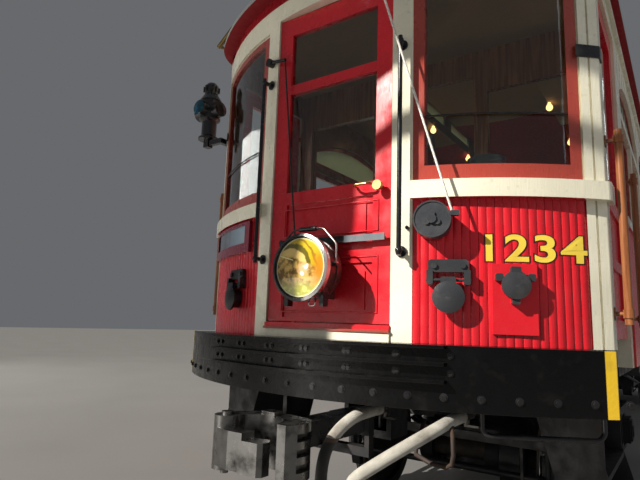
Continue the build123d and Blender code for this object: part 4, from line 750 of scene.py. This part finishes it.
# %% [markdown]
# The lamp's cable runs from its fitting on the door post down to the drum. It starts on the body and ends on
# the door.

# %% The headlight's cable
cable_d = 0.010
cable_route = [(-0.335, -7.572, 3.035), (-0.196, -7.590, 1.990), (-0.172, -7.606, 1.905),
               (-0.143, -7.622, 1.855), (-0.121, -7.632, 1.826)]
cable_curve = cord_curve("lamp_cable", cable_route, cable_d, rubber)


def line_of(points):
    """Points along the smooth line of a cord, read from its spline, and the line's length."""
    places = [vertex.co.copy() for vertex in plain_mesh(cord_curve("line", points, 0.0, rubber)).vertices]
    return places, sum((b - a).length for a, b in zip(places, places[1:]))


cable_line, cable_length = line_of(cable_route)
print("cable", round(cable_length, 3), "m")

# %% [markdown]
# # Boards, by Geometry Nodes
#
# The red panels are matched boards about as wide as a hand is thick, with a small V where two meet. One
# board is a chamfered section swept up a line. The tree below sets such boards along any curve, turned to
# face out of it, and ends by making them real and giving them their finish.

# %% The board tree
def new_tree(name, inputs):
    """An empty Geometry Nodes tree with geometry in and out and the named inputs."""
    tree = bpy.data.node_groups.new(name, "GeometryNodeTree")
    tree.interface.new_socket("Geometry", in_out="INPUT", socket_type="NodeSocketGeometry")
    tree.interface.new_socket("Geometry", in_out="OUTPUT", socket_type="NodeSocketGeometry")
    for label, kind in inputs.items():
        tree.interface.new_socket(label, in_out="INPUT", socket_type=f"NodeSocket{kind}")
    return tree, tree.nodes.new("NodeGroupInput").outputs, tree.nodes.new("NodeGroupOutput")


def even_points(tree, curve, pitch):
    """Points along a curve at a pitch."""
    return add_node(tree, "GeometryNodeCurveToPoints", {"Curve": curve, "Length": pitch}, mode="LENGTH")


def close_tree(tree, result, row, piece, finish):
    """Sets a piece on every point of a row, facing out of it, in its finish; returns the whole tree."""
    turn = add_node(tree, "FunctionNodeAlignRotationToVector", {"Vector": row.outputs["Tangent"]}, axis="X",
                    pivot_axis="Z")
    placed = add_node(tree, "GeometryNodeInstanceOnPoints", {
        "Points": row.outputs["Points"], "Instance": piece.outputs[0], "Rotation": turn.outputs[0]})
    real = add_node(tree, "GeometryNodeRealizeInstances", {"Geometry": placed.outputs[0]})
    dressed = add_node(tree, "GeometryNodeSetMaterial", {"Geometry": real.outputs[0], "Material": finish})
    tree.links.new(dressed.outputs[0], result.inputs[0])
    return tree


def matched_boards():
    """Upright chamfered boards side by side along a curve, facing out of it."""
    sizes = dict.fromkeys(("Board width", "Thickness", "Height", "V cut"), "Float")
    tree, given, result = new_tree("matched_boards", sizes | {"Finish": "Material"})
    row = even_points(tree, given["Geometry"], given["Board width"])
    top = add_node(tree, "ShaderNodeCombineXYZ", {"Z": given["Height"]})
    stem = add_node(tree, "GeometryNodeCurvePrimitiveLine", {"End": top.outputs[0]})
    section = add_node(tree, "GeometryNodeCurvePrimitiveQuadrilateral",
                       {"Width": given["Board width"], "Height": given["Thickness"]})
    chamfered = add_node(tree, "GeometryNodeFilletCurve",
                         {"Curve": section.outputs[0], "Count": 1, "Radius": given["V cut"]}, mode="POLY")
    board = add_node(tree, "GeometryNodeCurveToMesh",
                     {"Curve": stem.outputs[0], "Profile Curve": chamfered.outputs[0], "Fill Caps": True})
    return close_tree(tree, result, row, board, given["Finish"])


def grow(name, base, tree, values, body):
    """Runs a tree on a base object and leaves a plain mesh that rides on a body."""
    sockets = {item.name: item.identifier for item in tree.interface.items_tree if item.in_out == "INPUT"}
    modifier = base.modifiers.new("grow", "NODES")
    modifier.node_group = tree
    for label, value in values.items():
        modifier[sockets[label]] = value
    grown = plain_mesh(base)
    grown.name = name
    return put(name, grown, body)


# %% [markdown]
# Every panel gives one line along its foot. The end panels follow the bow, so their line is taken from the
# wall itself, and the long side panels are straight. Half a board is left at each end of a line, because a
# board is centred on its point.

# %% Matched boards on the ends and the sides
board_w, board_t, v_cut = 0.038, 0.0125, 0.0013


def bow_line(x0, x1, z, out, end=FRONT, steps=24):
    """Points along the end wall between two x."""
    return [wall_frame(x0 + (x1 - x0) * k / steps, z, out, end).translation for k in range(steps + 1)]


def wandering(name, colour):
    """Red enamel whose tone shifts a little from board to board."""
    f = Finish(name, Coat_Weight=0.35, Coat_Roughness=0.12)
    base = brushed(f, colour, 0.0005, "Z", 0.3)
    number = f.whole(f.share(f.plus(f.xyz[0], f.xyz[1]), board_w))
    tone = f.add("ShaderNodeTexWhiteNoise", {"W": number}, noise_dimensions="1D").outputs["Value"]
    return f.done(Base_Color=f.mix(f.times(tone, 0.22), base, shade(colour, 0.72)))


boards_red = wandering("enamel_red_boards", RED)
boards = matched_boards()
outer_x, door_post_y = 1.238, 6.090
board_out = board_t / 2 - panel_back
end_height, side_foot = belt[0] - deck - 0.001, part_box("side_wall_right")[0].z
board_walls = {}
for end, label in ENDS:
    board_walls[f"boards_{label}_end"] = (end_height, [
        bow_line(s * (post_x + board_w / 2), s * (outer_x - board_w / 2), deck + 0.0005, board_out, end)
        for s in (-1, 1)])
for side, label in ((-1, "left"), (1, "right")):
    x = side * (half_width + board_t / 2)
    board_walls[f"boards_{label}_side"] = (belt[0] + 0.039 - side_foot, [
        [(x, s * (door_post_y - board_w / 2), side_foot + 0.001) for s in (-1, 1)]])
for name, (height, feet) in board_walls.items():
    sizes = {"Board width": board_w, "Thickness": board_t, "Height": height, "V cut": v_cut}
    grow(name, path_object("feet", feet), boards, sizes | {"Finish": boards_red}, "root")

# %% [markdown]
# # Bolts, bars and numerals
#
# The bumper is a rolled channel, bolted through, and the ribs of the anticlimber are bolted to it in
# pairs. A bolt head is a six-sided prism on a round washer, with a few dozen faces, because there are so
# many. The tree sets it at an even pitch along any line and turns it to face out of the line.

# %% The bolt tree
def bolt_rows():
    """Six-sided heads on washers at an even pitch along a curve, facing out of it."""
    sizes = dict.fromkeys(("Pitch", "Radius", "Proud"), "Float")
    tree, given, result = new_tree("bolt_rows", sizes | {"Finish": "Material"})
    row = even_points(tree, given["Geometry"], given["Pitch"])
    head = add_node(tree, "GeometryNodeMeshCylinder", {
        "Vertices": 6, "Radius": given["Radius"], "Depth": sums(tree, "MULTIPLY", given["Proud"], 2.0)})
    washer = add_node(tree, "GeometryNodeMeshCylinder", {
        "Vertices": 18, "Radius": sums(tree, "MULTIPLY", given["Radius"], 1.5),
        "Depth": sums(tree, "MULTIPLY", given["Proud"], 0.6)})
    both = tree.nodes.new("GeometryNodeJoinGeometry")
    for shape in (head, washer):
        tree.links.new(shape.outputs["Mesh"], both.inputs[0])
    laid = add_node(tree, "GeometryNodeTransform", {"Geometry": both.outputs[0], "Rotation": (pi / 2, 0, 0)})
    return close_tree(tree, result, row, laid, given["Finish"])

# %% [markdown]
# The ribs take two rows of bolts in pairs. The channel under them takes one row of larger ones.

# %% Bolts on both bumpers
bumper_face = 0.150
bolts = bolt_rows()
bolt_iron = iron("bolt_iron", shade(BLACK, 0.5), wear=0.10, rough=(0.22, 0.45))
channels = (deck - 0.045, deck - 0.120)
for end, label in ENDS:
    twins = [bow_line(-0.66 + shift, 0.68, z, bumper_face, end) for z in channels for shift in (0.0, 0.052)]
    single = [bow_line(-1.27, 1.28, deck - 0.225, bumper_face, end)]
    for part, rows, pitch, radius, proud in (("anticlimber", twins, 0.215, 0.0105, 0.009),
                                             ("bumper", single, 0.158, 0.012, 0.010)):
        grow(f"{part}_bolts_{label}", path_object("rows", rows), bolts, {
            "Pitch": pitch, "Radius": radius, "Proud": proud, "Finish": bolt_iron}, "root")

# %% [markdown]
# Bars and wires are a line with a round section. They are made as curves and turned into meshes at once:
# the guard bar across each end window, the beads round the sunk panels of the end doors, the lead between
# the panes of the arched lights, and a length of old pipe that loops down behind the right hose.

# %% Bars and wires
def wire(name, lines, diameter, finish, body):
    """Round bars along open lines, as one mesh."""
    guide = path_object(name, lines)
    thicken(guide, diameter, 3)
    return put(name, dress(plain_mesh(guide), finish), body)


bead_red = enamel("enamel_door_beads", RED, coat=0.5)
bead_x0, bead_x1 = -0.300, 0.323
for end, label in ENDS:
    bars = [bow_line(s * 0.535, s * 1.195, deck + 1.15, -0.016, end) for s in (-1, 1)]
    wire(f"window_bars_{label}", bars, 0.010, gloss_black, "root")
    loops = [((bead_x0, low), (bead_x1, low), (bead_x1, high), (bead_x0, high), (bead_x0, low))
             for low, high in ((1.500, 1.791), (1.925, 2.088))]
    beads = [[(end * x, -end * door_face, z) for x, z in loop] for loop in loops]
    wire(f"door_beads_{label}", beads, 0.010, bead_red, f"end_door_{label}")
lead = iron("lead_came", (0.09, 0.09, 0.095), worn=(0.2, 0.2, 0.2), rough=(0.4, 0.6))
bays, half_saloon, half_arch, arch_glass_x = 7, 6.061, 0.726, 1.2845
arch_foot, arch_crown, arch_radius = deck + 1.640, deck + 1.890, 1.639
cames = []
for side in (-1, 1):
    for step in range(bays):
        middle = -half_saloon + (step + 0.5) * 2 * half_saloon / bays
        for k in range(-3, 4):
            across = k * half_arch / 4
            top = arch_crown - (arch_radius - sqrt(arch_radius**2 - across**2))
            cames.append([(side * arch_glass_x, middle + across, z) for z in (arch_foot, top)])
wire("arch_cames", cames, 0.007, lead, "root")
old_pipe = [(0.716, -7.47, 1.030), (0.728, -7.60, 1.010), (0.742, -7.62, 0.985), (0.746, -7.62, 0.900),
            (0.738, -7.62, 0.860), (0.712, -7.62, 0.845), (0.640, -7.62, 0.850), (0.568, -7.61, 0.873),
            (0.545, -7.55, 0.905), (0.540, -7.45, 1.000)]
wire("old_pipe", [old_pipe], 0.020, rust, "root")

# %% [markdown]
# The number on the right panel is gilded, with a dark outline, and stands a hair proud of the boards.
# Plain numerals are made as text, turned into a mesh and then bent onto the bowed wall point by point. The
# outline is the same text, drawn a little fatter and set behind.

# %% Gilded numerals
def numerals(name, words, limits, fatter, out, thick, finish):
    """Text between limits (x0, x1, z0, z1) on the front wall, drawn fatter by a share of its height."""
    text = bpy.data.curves.new(name, "FONT")
    text.body, text.extrude, text.space_character = words, 0.5, 1.12
    holder = put(name, text)
    thin = plain_mesh(holder, keep=True)
    text.offset = fatter
    mesh = plain_mesh(holder)
    low = [min(v.co[axis] for v in thin.vertices) for axis in (0, 1)]
    high = [max(v.co[axis] for v in thin.vertices) for axis in (0, 1)]
    x0, x1, z0, z1 = limits
    for vertex in mesh.vertices:
        u, v = ((vertex.co[axis] - low[axis]) / (high[axis] - low[axis]) for axis in (0, 1))
        place = wall_frame(x0 + (x1 - x0) * u, z0 + (z1 - z0) * v, out + thick * vertex.co[2])
        vertex.co = place.translation
    put(name, dress(mesh, finish), "root")


gilt = iron("gilt_paint", (0.80, 0.52, 0.06), (0.45, 0.22, 0.03), 0.3, (0.28, 0.45), 0.0003)
shadow_paint = iron("numeral_outline", (0.05, 0.008, 0.010), (0.12, 0.02, 0.02), 0.2, (0.3, 0.5))
number_limits = (0.838, 1.230, deck + 0.400, deck + 0.525)
numerals("numeral_outlines", "1234", number_limits, 0.052, -0.0020, 0.0016, shadow_paint)
numerals("numerals", "1234", number_limits, 0.022, -0.0006, 0.0020, gilt)

# %% [markdown]
# # The headlight's glass
#
# The lens is a shallow dome of yellow glass. What the eye sees in it is painted: painted reflections of the
# bowl of the reflector behind, as olive and gold bands that bend round the middle, a painted warm glow on one
# side, painted white sparks of the bulb, a painted pale streak and a painted bright rim. All are painted in
# the material, by the distance from a middle and by height, under a clear coat that gives the gloss of the
# glass.

# %% The bowl's painted reflections in the lens
def lens_with_painted_bowl(name):
    """Yellow glass with a bright bowl painted in as reflections: bands that bend round the middle, a painted
    glow, sparks, a streak and a rim.
    """
    f = Finish(name, Roughness=0.10, Coat_Weight=1.0, Coat_Roughness=0.03)
    x, _, z = f.xyz
    out = f.away(light, "XZ")
    up = f.minus(z, light[2])
    mottle = f.cloud(34, 4)
    # Painted reflections of the bowl: olive and gold bands that bend round a middle.
    arc = f.plus(f.away((light[0] - 0.06, light[1], light[2] - 0.02), "XZ"),
               f.patch(16, 3, 0.3, 0.7, -0.008, 0.008))
    above = f.ramp(f.plus(up, f.times(x, 0.25)), 0.020, 0.036)
    base = f.mix(f.ramp(mottle, 0.42, 0.60), (0.16, 0.085, 0.012), (0.62, 0.40, 0.10))
    bands = ((0.070, 0.082, (0.70, 0.50, 0.16)), (0.118, 0.124, (0.13, 0.105, 0.012)),
             (0.143, 0.149, (0.56, 0.40, 0.014)), (0.166, 0.170, (0.30, 0.17, 0.012)),
             (0.176, 0.180, (0.54, 0.42, 0.02)))
    for low, high, colour in bands:
        base = f.mix(f.times(above, f.ramp(arc, low, high)), base, colour)
    # Painted glow: warm orange towards the right side.
    base = f.mix(f.times(f.ramp(x, 0.070, 0.120, 0, 0.9), f.ramp(up, 0.085, 0.045)),
               base, (0.62, 0.23, 0.012))
    # Painted reflection: yellow-green towards the bottom.
    base = f.mix(f.ramp(f.plus(up, f.times(mottle, 0.05)), -0.040, -0.085), base,
               f.mix(f.patch(22, 2, 0.5, 0.6), (0.38, 0.36, 0.015), (0.56, 0.62, 0.12)))
    # Painted highlight: a pale streak on the upper left.
    streak = f.plus(up, f.times(x, 0.28))
    streak = f.times(f.inside((-0.132, -9, light[2]), (-0.036, -7, light[2] + 0.08)),
                  f.ramp(f.size(f.minus(streak, 0.026)), 0.0035, 0.001))
    base = f.mix(streak, base, (0.90, 0.84, 0.42))
    # Painted highlights: the bulb's sparks, as pale spots.
    sparks = ((0.030, -0.012, 0.040, (0.72, 0.44, 0.22)), (0.048, 0.002, 0.017, (1.0, 0.97, 0.90)),
              (0.024, -0.032, 0.015, (0.93, 0.90, 0.74)))
    for middle, height, size, colour in sparks:
        spot = f.away((light[0] + middle, light[1], light[2] + height), "XZ")
        spot = f.plus(spot, f.patch(60, 3, 0.3, 0.7, -0.006, 0.006))
        base = f.mix(f.ramp(spot, size, size * 0.55), base, colour)
    # Painted highlight: a pale ring near the edge of the lens.
    rim_light = f.ramp(out, 0.143, 0.149, 0, 0.75)
    f.bump(mottle, 0.0006)
    return f.done(Base_Color=f.mix(rim_light, base, (0.88, 0.84, 0.55)))


# %% [markdown]
# The lens stands on a flat back, and a thin ring closes the gap between it and the bezel.

# %% The lens and its ring
def rim_finish(name):
    """Thin ring, black all round but painted bright on its right: a painted highlight."""
    f = Finish(name, Roughness=0.22)
    # Painted highlight: right of a line the ring turns to bright metal.
    rim_highlight = f.ramp(f.xyz[0], 0.030, 0.060)
    return f.done(Base_Color=f.mix(rim_highlight, BLACK, (0.74, 0.73, 0.72)), Metallic=rim_highlight)


forward = Matrix.Translation(light) @ Matrix.Rotation(pi / 2, 4, "X")
lens_profile = domed(0.152, 0.016, 12, 0.0012, 0.0004)
lens = lathe("lamp_lens", lens_profile, [forward], lens_with_painted_bowl("amber_lens"), "end_door_front", 96)
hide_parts("headlight_lens")
band = [(0.1525, 0.0004), (0.1525, 0.004), (0.1545, 0.0065), (0.1575, 0.0065), (0.1590, 0.004),
        (0.1590, 0.0004)]
lathe("lens_ring", band + band[:1], [forward], rim_finish("lens_rim"), "end_door_front", 96)

# %% [markdown]
# Each marker lamp carries large, bulging glasses, blue to the front and dark red to the side. They close
# the hoods like the glass of a watch.

# %% Glasses of the marker lamps
def lamp_glass(name, colour):
    """Dark coloured glass with painted glints: pale specks of painted reflection."""
    f = Finish(name, Roughness=0.05)
    # Painted reflection: noise sets pale specks on the dark glass.
    glints = f.patch(30, 2, 0.56, 0.72, 0, 0.6)
    f.bump(f.cloud(40, 2), 0.0008)
    return f.done(Base_Color=f.mix(glints, colour, shade(colour, 4)))


hood_end = 0.1242
watch = domed(0.0590, 0.0110, 8, 0.0003, 0.0)
for label, way, colour in (("blue", (0, -1), BLUE_GLASS), ("red", (1, 0), RED_GLASS)):
    places = []
    for end in (FRONT, REAR):
        spot = Vector((lamp_x + way[0] * hood_end, lamp_y + way[1] * hood_end, lamp_z))
        outward = Vector((way[0], way[1], 0)).to_track_quat("Z", "Y").to_matrix().to_4x4()
        turned = Matrix.Identity(4) if end == FRONT else Matrix.Rotation(pi, 4, "Z")
        places.append(turned @ Matrix.Translation(spot) @ outward)
    lathe(f"marker_glass_{label}", watch, places, lamp_glass(f"{label}_glass", colour), "root", 48)

# %% [markdown]
# The board over the left socket holds a strip of glass in a dark red frame. It stays blank. The glass
# follows the bow, so it is a thin closed strip built along the wall. The moulding under each end door is
# made the same way.

# %% Glass of the board
def bow_strip(name, limits, outs, finish, end=FRONT, steps=20):
    """Closed thin strip along an end wall, between limits (x0, x1, z0, z1) and two offsets."""
    x0, x1, z0, z1 = limits
    shape = bmesh.new()
    rings = []
    for k in range(steps + 1):
        x = x0 + (x1 - x0) * k / steps
        corners = ((z0, outs[0]), (z0, outs[1]), (z1, outs[1]), (z1, outs[0]))
        rings.append([shape.verts.new(wall_frame(x, z, out, end).translation) for z, out in corners])
    for before, after in zip(rings, rings[1:]):
        for a in range(4):
            b = (a + 1) % 4
            shape.faces.new((before[a], before[b], after[b], after[a]))
    shape.faces.new(rings[0])
    shape.faces.new(rings[-1])
    put(name, mesh_of(shape, name, finish), "root")


def board_glass(name):
    """Dark glass with dust, painted paler and bluer to the right: a painted reflection."""
    f = Finish(name, Roughness=0.08, Coat_Weight=1.0, Coat_Roughness=0.03)
    x = f.xyz[0]
    dust = f.patch(14, 8, 0.4, 0.75, 0, 0.35)
    # Painted reflection: the glass is painted pale blue towards its right end.
    base = f.mix(f.ramp(x, -1.0, -0.66), (0.045, 0.05, 0.075), (0.30, 0.42, 0.52))
    f.bump(f.cloud(5, 2), 0.0006)
    return f.done(Base_Color=f.mix(dust, base, (0.32, 0.34, 0.36)))


for end, label in ENDS:
    sill_limits = (-0.400, 0.400, deck + 0.044, deck + 0.056)
    bow_strip(f"sill_moulding_{label}", sill_limits, (0.0102, 0.0190), sash_wood, end)
board_limits = (-1.1925, -0.6565, deck + 0.5655, deck + 0.6775)
bow_strip("board_glass", board_limits, (0.0102, 0.0135), board_glass("board_glass"))

# %% [markdown]
# # Rope and lamps inside
#
# The rope that holds the trolley pole down is taut. It is held by the catcher on the body and by the harp on
# the pole, and it has many points along its length.

# %% The trolley rope
def rope_finish(name):
    """White cotton rope, laid up in three strands, gone a little grey, with painted shade in the grooves of
    its lay.
    """
    f = Finish(name, Roughness=0.9, Sheen_Weight=0.3)
    lay = f.wave(28.0, bands_direction="DIAGONAL")
    base = f.mix(f.patch(6, 6, 0.35, 0.7), (0.78, 0.76, 0.70), (0.55, 0.52, 0.46))
    f.bump(lay, 0.0015)
    # Painted shade: darker in the grooves of the lay.
    return f.done(Base_Color=f.mix(f.ramp(lay, 0.3, 0.0, 0, 0.5), base, (0.25, 0.23, 0.2)))


def between(start, end, steps):
    """Even points from a start up to an end, which is left out."""
    return [Vector(start).lerp(Vector(end), k / steps) for k in range(steps)]


rope_eye = wall_frame(0.690, deck + 0.6263, 0.090).translation
rope_eave = Vector((0.275, wall_y(0.275, 0.100), 3.585))
rope_harp = Vector((0, -5.990, 4.2397))
rope_line = between(rope_eye, rope_eave, 60) + between(rope_eave, rope_harp, 60) + [rope_harp]
rope = wire("rope", [rope_line], 0.012, rope_finish("cotton_rope"), None)
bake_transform(rope)
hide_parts("trolley_rope")

# %% [markdown]
# Warm bulbs hang in two rows of nine, under the edges of the clerestory. A glass and a cap are turned from
# two short profiles, and each row is one more list of places for them.

# %% Bulbs
def bulb_finish(name):
    """Warm glowing glass."""
    f = Finish(name, Roughness=0.3, Emission_Strength=2.4)
    warm = f.mix(f.cloud(30), (1.0, 0.48, 0.14), (1.0, 0.66, 0.30))
    return f.done(Base_Color=warm, Emission_Color=warm)


bulb_profile = [(0, -0.085), (0.016, -0.082), (0.028, -0.070), (0.033, -0.052), (0.028, -0.034),
                (0.016, -0.018), (0.0135, 0.0), (0, 0.0)]
cap_profile = [(0, 0.0), (0.0145, 0.0), (0.0165, 0.004), (0.0165, 0.022), (0.030, 0.030), (0.030, 0.035),
               (0, 0.035)]
bulb_x, bulb_z, bulb_pitch, first_bulb = 0.615, 3.700, 1.155, -4.586
spots = [Matrix.Translation((side * bulb_x, first_bulb + k * bulb_pitch, bulb_z))
         for side in (-1, 1) for k in range(9)]
lathe("bulbs", bulb_profile, spots, bulb_finish("bulb_glass"), "root", 16)
lathe("bulb_caps", cap_profile, spots, brass, "root", 16)

# %% [markdown]
# # Cane seats
#
# The seats are sprung and covered in woven cane. One seat and one back are blown up as cloth under
# pressure, so that they crown between their edges, and then set down along the aisle, each in the room its
# solid keeps.

# %% One cushion as cloth
def cushion(size, voxel, cap):
    """Points and faces of a padded block of about a size, swollen by no more than cap."""
    shape = bmesh.new()
    bmesh.ops.create_cube(shape, size=1.0)
    for vertex in shape.verts:
        vertex.co = Vector(side * (full - 2 * cap) for side, full in zip(vertex.co, size))
    pad = put("pad", mesh_of(shape, "pad"))
    remesh = pad.modifiers.new("remesh", "REMESH")
    remesh.mode, remesh.voxel_size = "VOXEL", voxel
    start = plain_mesh(pad, keep=True)
    pad.modifiers.clear()
    pad.data = start
    points = np.array([v.co[:] for v in start.vertices])
    faces = [tuple(face.vertices) for face in start.polygons]
    cloth = pad.modifiers.new("swell", "CLOTH")
    cloth.settings.use_pressure, cloth.settings.uniform_pressure_force = True, 4.0
    cloth.settings.effector_weights.gravity = 0.0
    for moment in range(1, 21):
        bpy.context.scene.frame_set(moment)
    swollen = pad.evaluated_get(bpy.context.evaluated_depsgraph_get()).data
    moved = np.array([v.co[:] for v in swollen.vertices]) - points
    far_moved = np.linalg.norm(moved, axis=1, keepdims=True)
    points = points + moved * np.minimum(1.0, cap / np.maximum(far_moved, 1e-9))
    bpy.context.scene.frame_set(1)
    bpy.data.objects.remove(pad)
    return points, faces


def cane(name):
    """Woven cane, varnished yellow, with painted shade in the recesses between its strands."""
    f = Finish(name, Coat_Weight=0.3, Coat_Roughness=0.25)
    strands = [f.wave(55.0, distortion=0.6, bands_direction=axis) for axis in "XYZ"]
    weave = f.times(f.times(strands[0], strands[1]), strands[2])
    base = f.mix(f.cloud(4, 6), (0.42, 0.27, 0.10), (0.55, 0.38, 0.17))
    f.bump(weave, 0.0012)
    # Painted shade: darker where the weave is low, between the strands.
    return f.done(Base_Color=f.mix(f.ramp(weave, 0.35, 0.05, 0, 0.7), base, (0.10, 0.06, 0.025)),
                  Roughness=f.ramp(weave, 0, 0.6, 0.6, 0.35))

# %% [markdown]
# The pair is repeated on both sides of the aisle, and all seats together are one piece.

# %% Twenty-eight seats from one pair
seat_mid, seat_wide = 0.8025, 0.825
rows_of_seats, seat_pitch = 14, half_saloon / 7
parts = [(cushion((seat_wide, 0.450, 0.1147), 0.026, 0.010), (0.0, 1.79265)),
         (cushion((seat_wide, 0.0797, 0.560), 0.026, 0.010), (0.26515, 2.075))]
points, faces = [], []
for side in (-1, 1):
    for step in range(rows_of_seats):
        y = -half_saloon + (step + 0.5) * seat_pitch
        for (shape_points, shape_faces), (back, height) in parts:
            base = len(points)
            points.extend(map(tuple, shape_points + np.array((side * seat_mid, y + back, height))))
            faces.extend(tuple(base + corner for corner in face) for face in shape_faces)
seats_mesh = mesh_from("cane_seats", points, faces, cane("woven_cane"))
seats_mesh.shade_smooth()
cane_seats = put("cane_seats", seats_mesh, "root")
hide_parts("seat_cushions")

# %% [markdown]
# # Floor and light
#
# The floor is a wide grey sheet. Three wide, soft lamps, to the left, to the right and behind, lighten the
# shadows, and they aren't mirrored in the paint. The sun comes in the next cell.

# %% Floor, lamps and surroundings
reach = 60
corners = [(-reach, -reach, 0), (reach, -reach, 0), (reach, reach, 0), (-reach, reach, 0)]
f = Finish("pale_floor", Roughness=0.55)
floor_grey = f.done(Base_Color=f.mix(f.cloud(0.7), (0.13, 0.127, 0.122), (0.165, 0.16, 0.153)))
put("ground", mesh_from("ground", corners, [(0, 1, 2, 3)], floor_grey))


def soft_lamp(name, place, target, size, power, colour=(1, 1, 1)):
    """A large square lamp that looks at a point."""
    data = bpy.data.lights.new(name, "AREA")
    data.shape, data.size, data.energy, data.color = "SQUARE", size, power, colour
    lamp = put(name, data)
    aim = Vector(target) - Vector(place)
    lamp.matrix_world = Matrix.Translation(place) @ aim.to_track_quat("-Z", "Y").to_matrix().to_4x4()
    lamp.visible_glossy = False


soft_lamp("fill_left", (-15.0, -9.0, 4.0), (0, -5, 2.2), 8.0, 1300, (1.0, 0.98, 0.93))
soft_lamp("fill_right", (14.0, -8.0, 9.0), (0, -2, 1.5), 9.0, 420, (0.88, 0.93, 1.0))
soft_lamp("fill_rear", (2.0, 20.0, 10.0), (0, 4, 2), 9.0, 1600, (0.95, 0.97, 1.0))
world = bpy.data.worlds.new("soft_sky")
bpy.context.scene.world = world
world.use_nodes = True
sky = world.node_tree.nodes["Background"].inputs
sky["Color"].default_value, sky["Strength"].default_value = (0.80, 0.83, 0.88, 1), 0.17
bpy.context.scene.view_settings.view_transform = "Standard"

# %% [markdown]
# The sun stands low on the left and lights the front in a broad patch and in slanting bands, with shade
# between them. Three cards across the sunlight give that shade: nothing but their shadow is seen. Points
# on a card are written by how far they lie to the right and up, as the sun sees them.

# %% The sun and the cards in its way
sunlight = Vector((0.424, 0.709, -0.563)).normalized()
sun_right = sunlight.cross(Vector((0, 0, 1))).normalized()
sun_up = sun_right.cross(sunlight)
sun_data = bpy.data.lights.new("sun", "SUN")
sun_data.energy, sun_data.angle, sun_data.color = 7.8, 0.012, (1.0, 0.95, 0.87)
put("sun", sun_data).matrix_world = sunlight.to_track_quat("-Z", "Y").to_matrix().to_4x4()
before_car, broad_card, right_end, slant = -10.4, (2.2, 4.03), 6.0, 0.8


def slanting_card(low, high):
    """Corners of a slanting card between two heights at the broad card's edge."""
    edge = broad_card[1]
    rises = ((edge, low), (right_end, low), (right_end, high), (edge, high))
    return [(u, height + slant * (u - edge)) for u, height in rises]


left, right = broad_card
outlines = [[(left, -4.5), (right - 0.21, -4.5), (right, -1.9), (right, 1.8), (left, 1.8)],
            slanting_card(-1.72, -1.60), slanting_card(-1.38, 1.2)]
card_points = [sun_right * u + sun_up * v + sunlight * before_car for outline in outlines for u, v in outline]
starts = [sum(len(o) for o in outlines[:k]) for k in range(len(outlines))]
card_faces = [tuple(range(s, s + len(o))) for s, o in zip(starts, outlines)]
cards = put("cards", mesh_from("cards", card_points, card_faces, floor_grey))
cards.visible_camera = cards.visible_glossy = cards.visible_diffuse = cards.visible_transmission = False
print("cards in", len(outlines), "parts")

# %% [markdown]
# The cable is turned into a mesh last, because a curve can't bend between two bodies.

# %% The cable as a mesh, and the end of the lesson
lamp_cable = put("lamp_cable", plain_mesh(cable_curve))
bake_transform(lamp_cable)
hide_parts("headlight_cable")
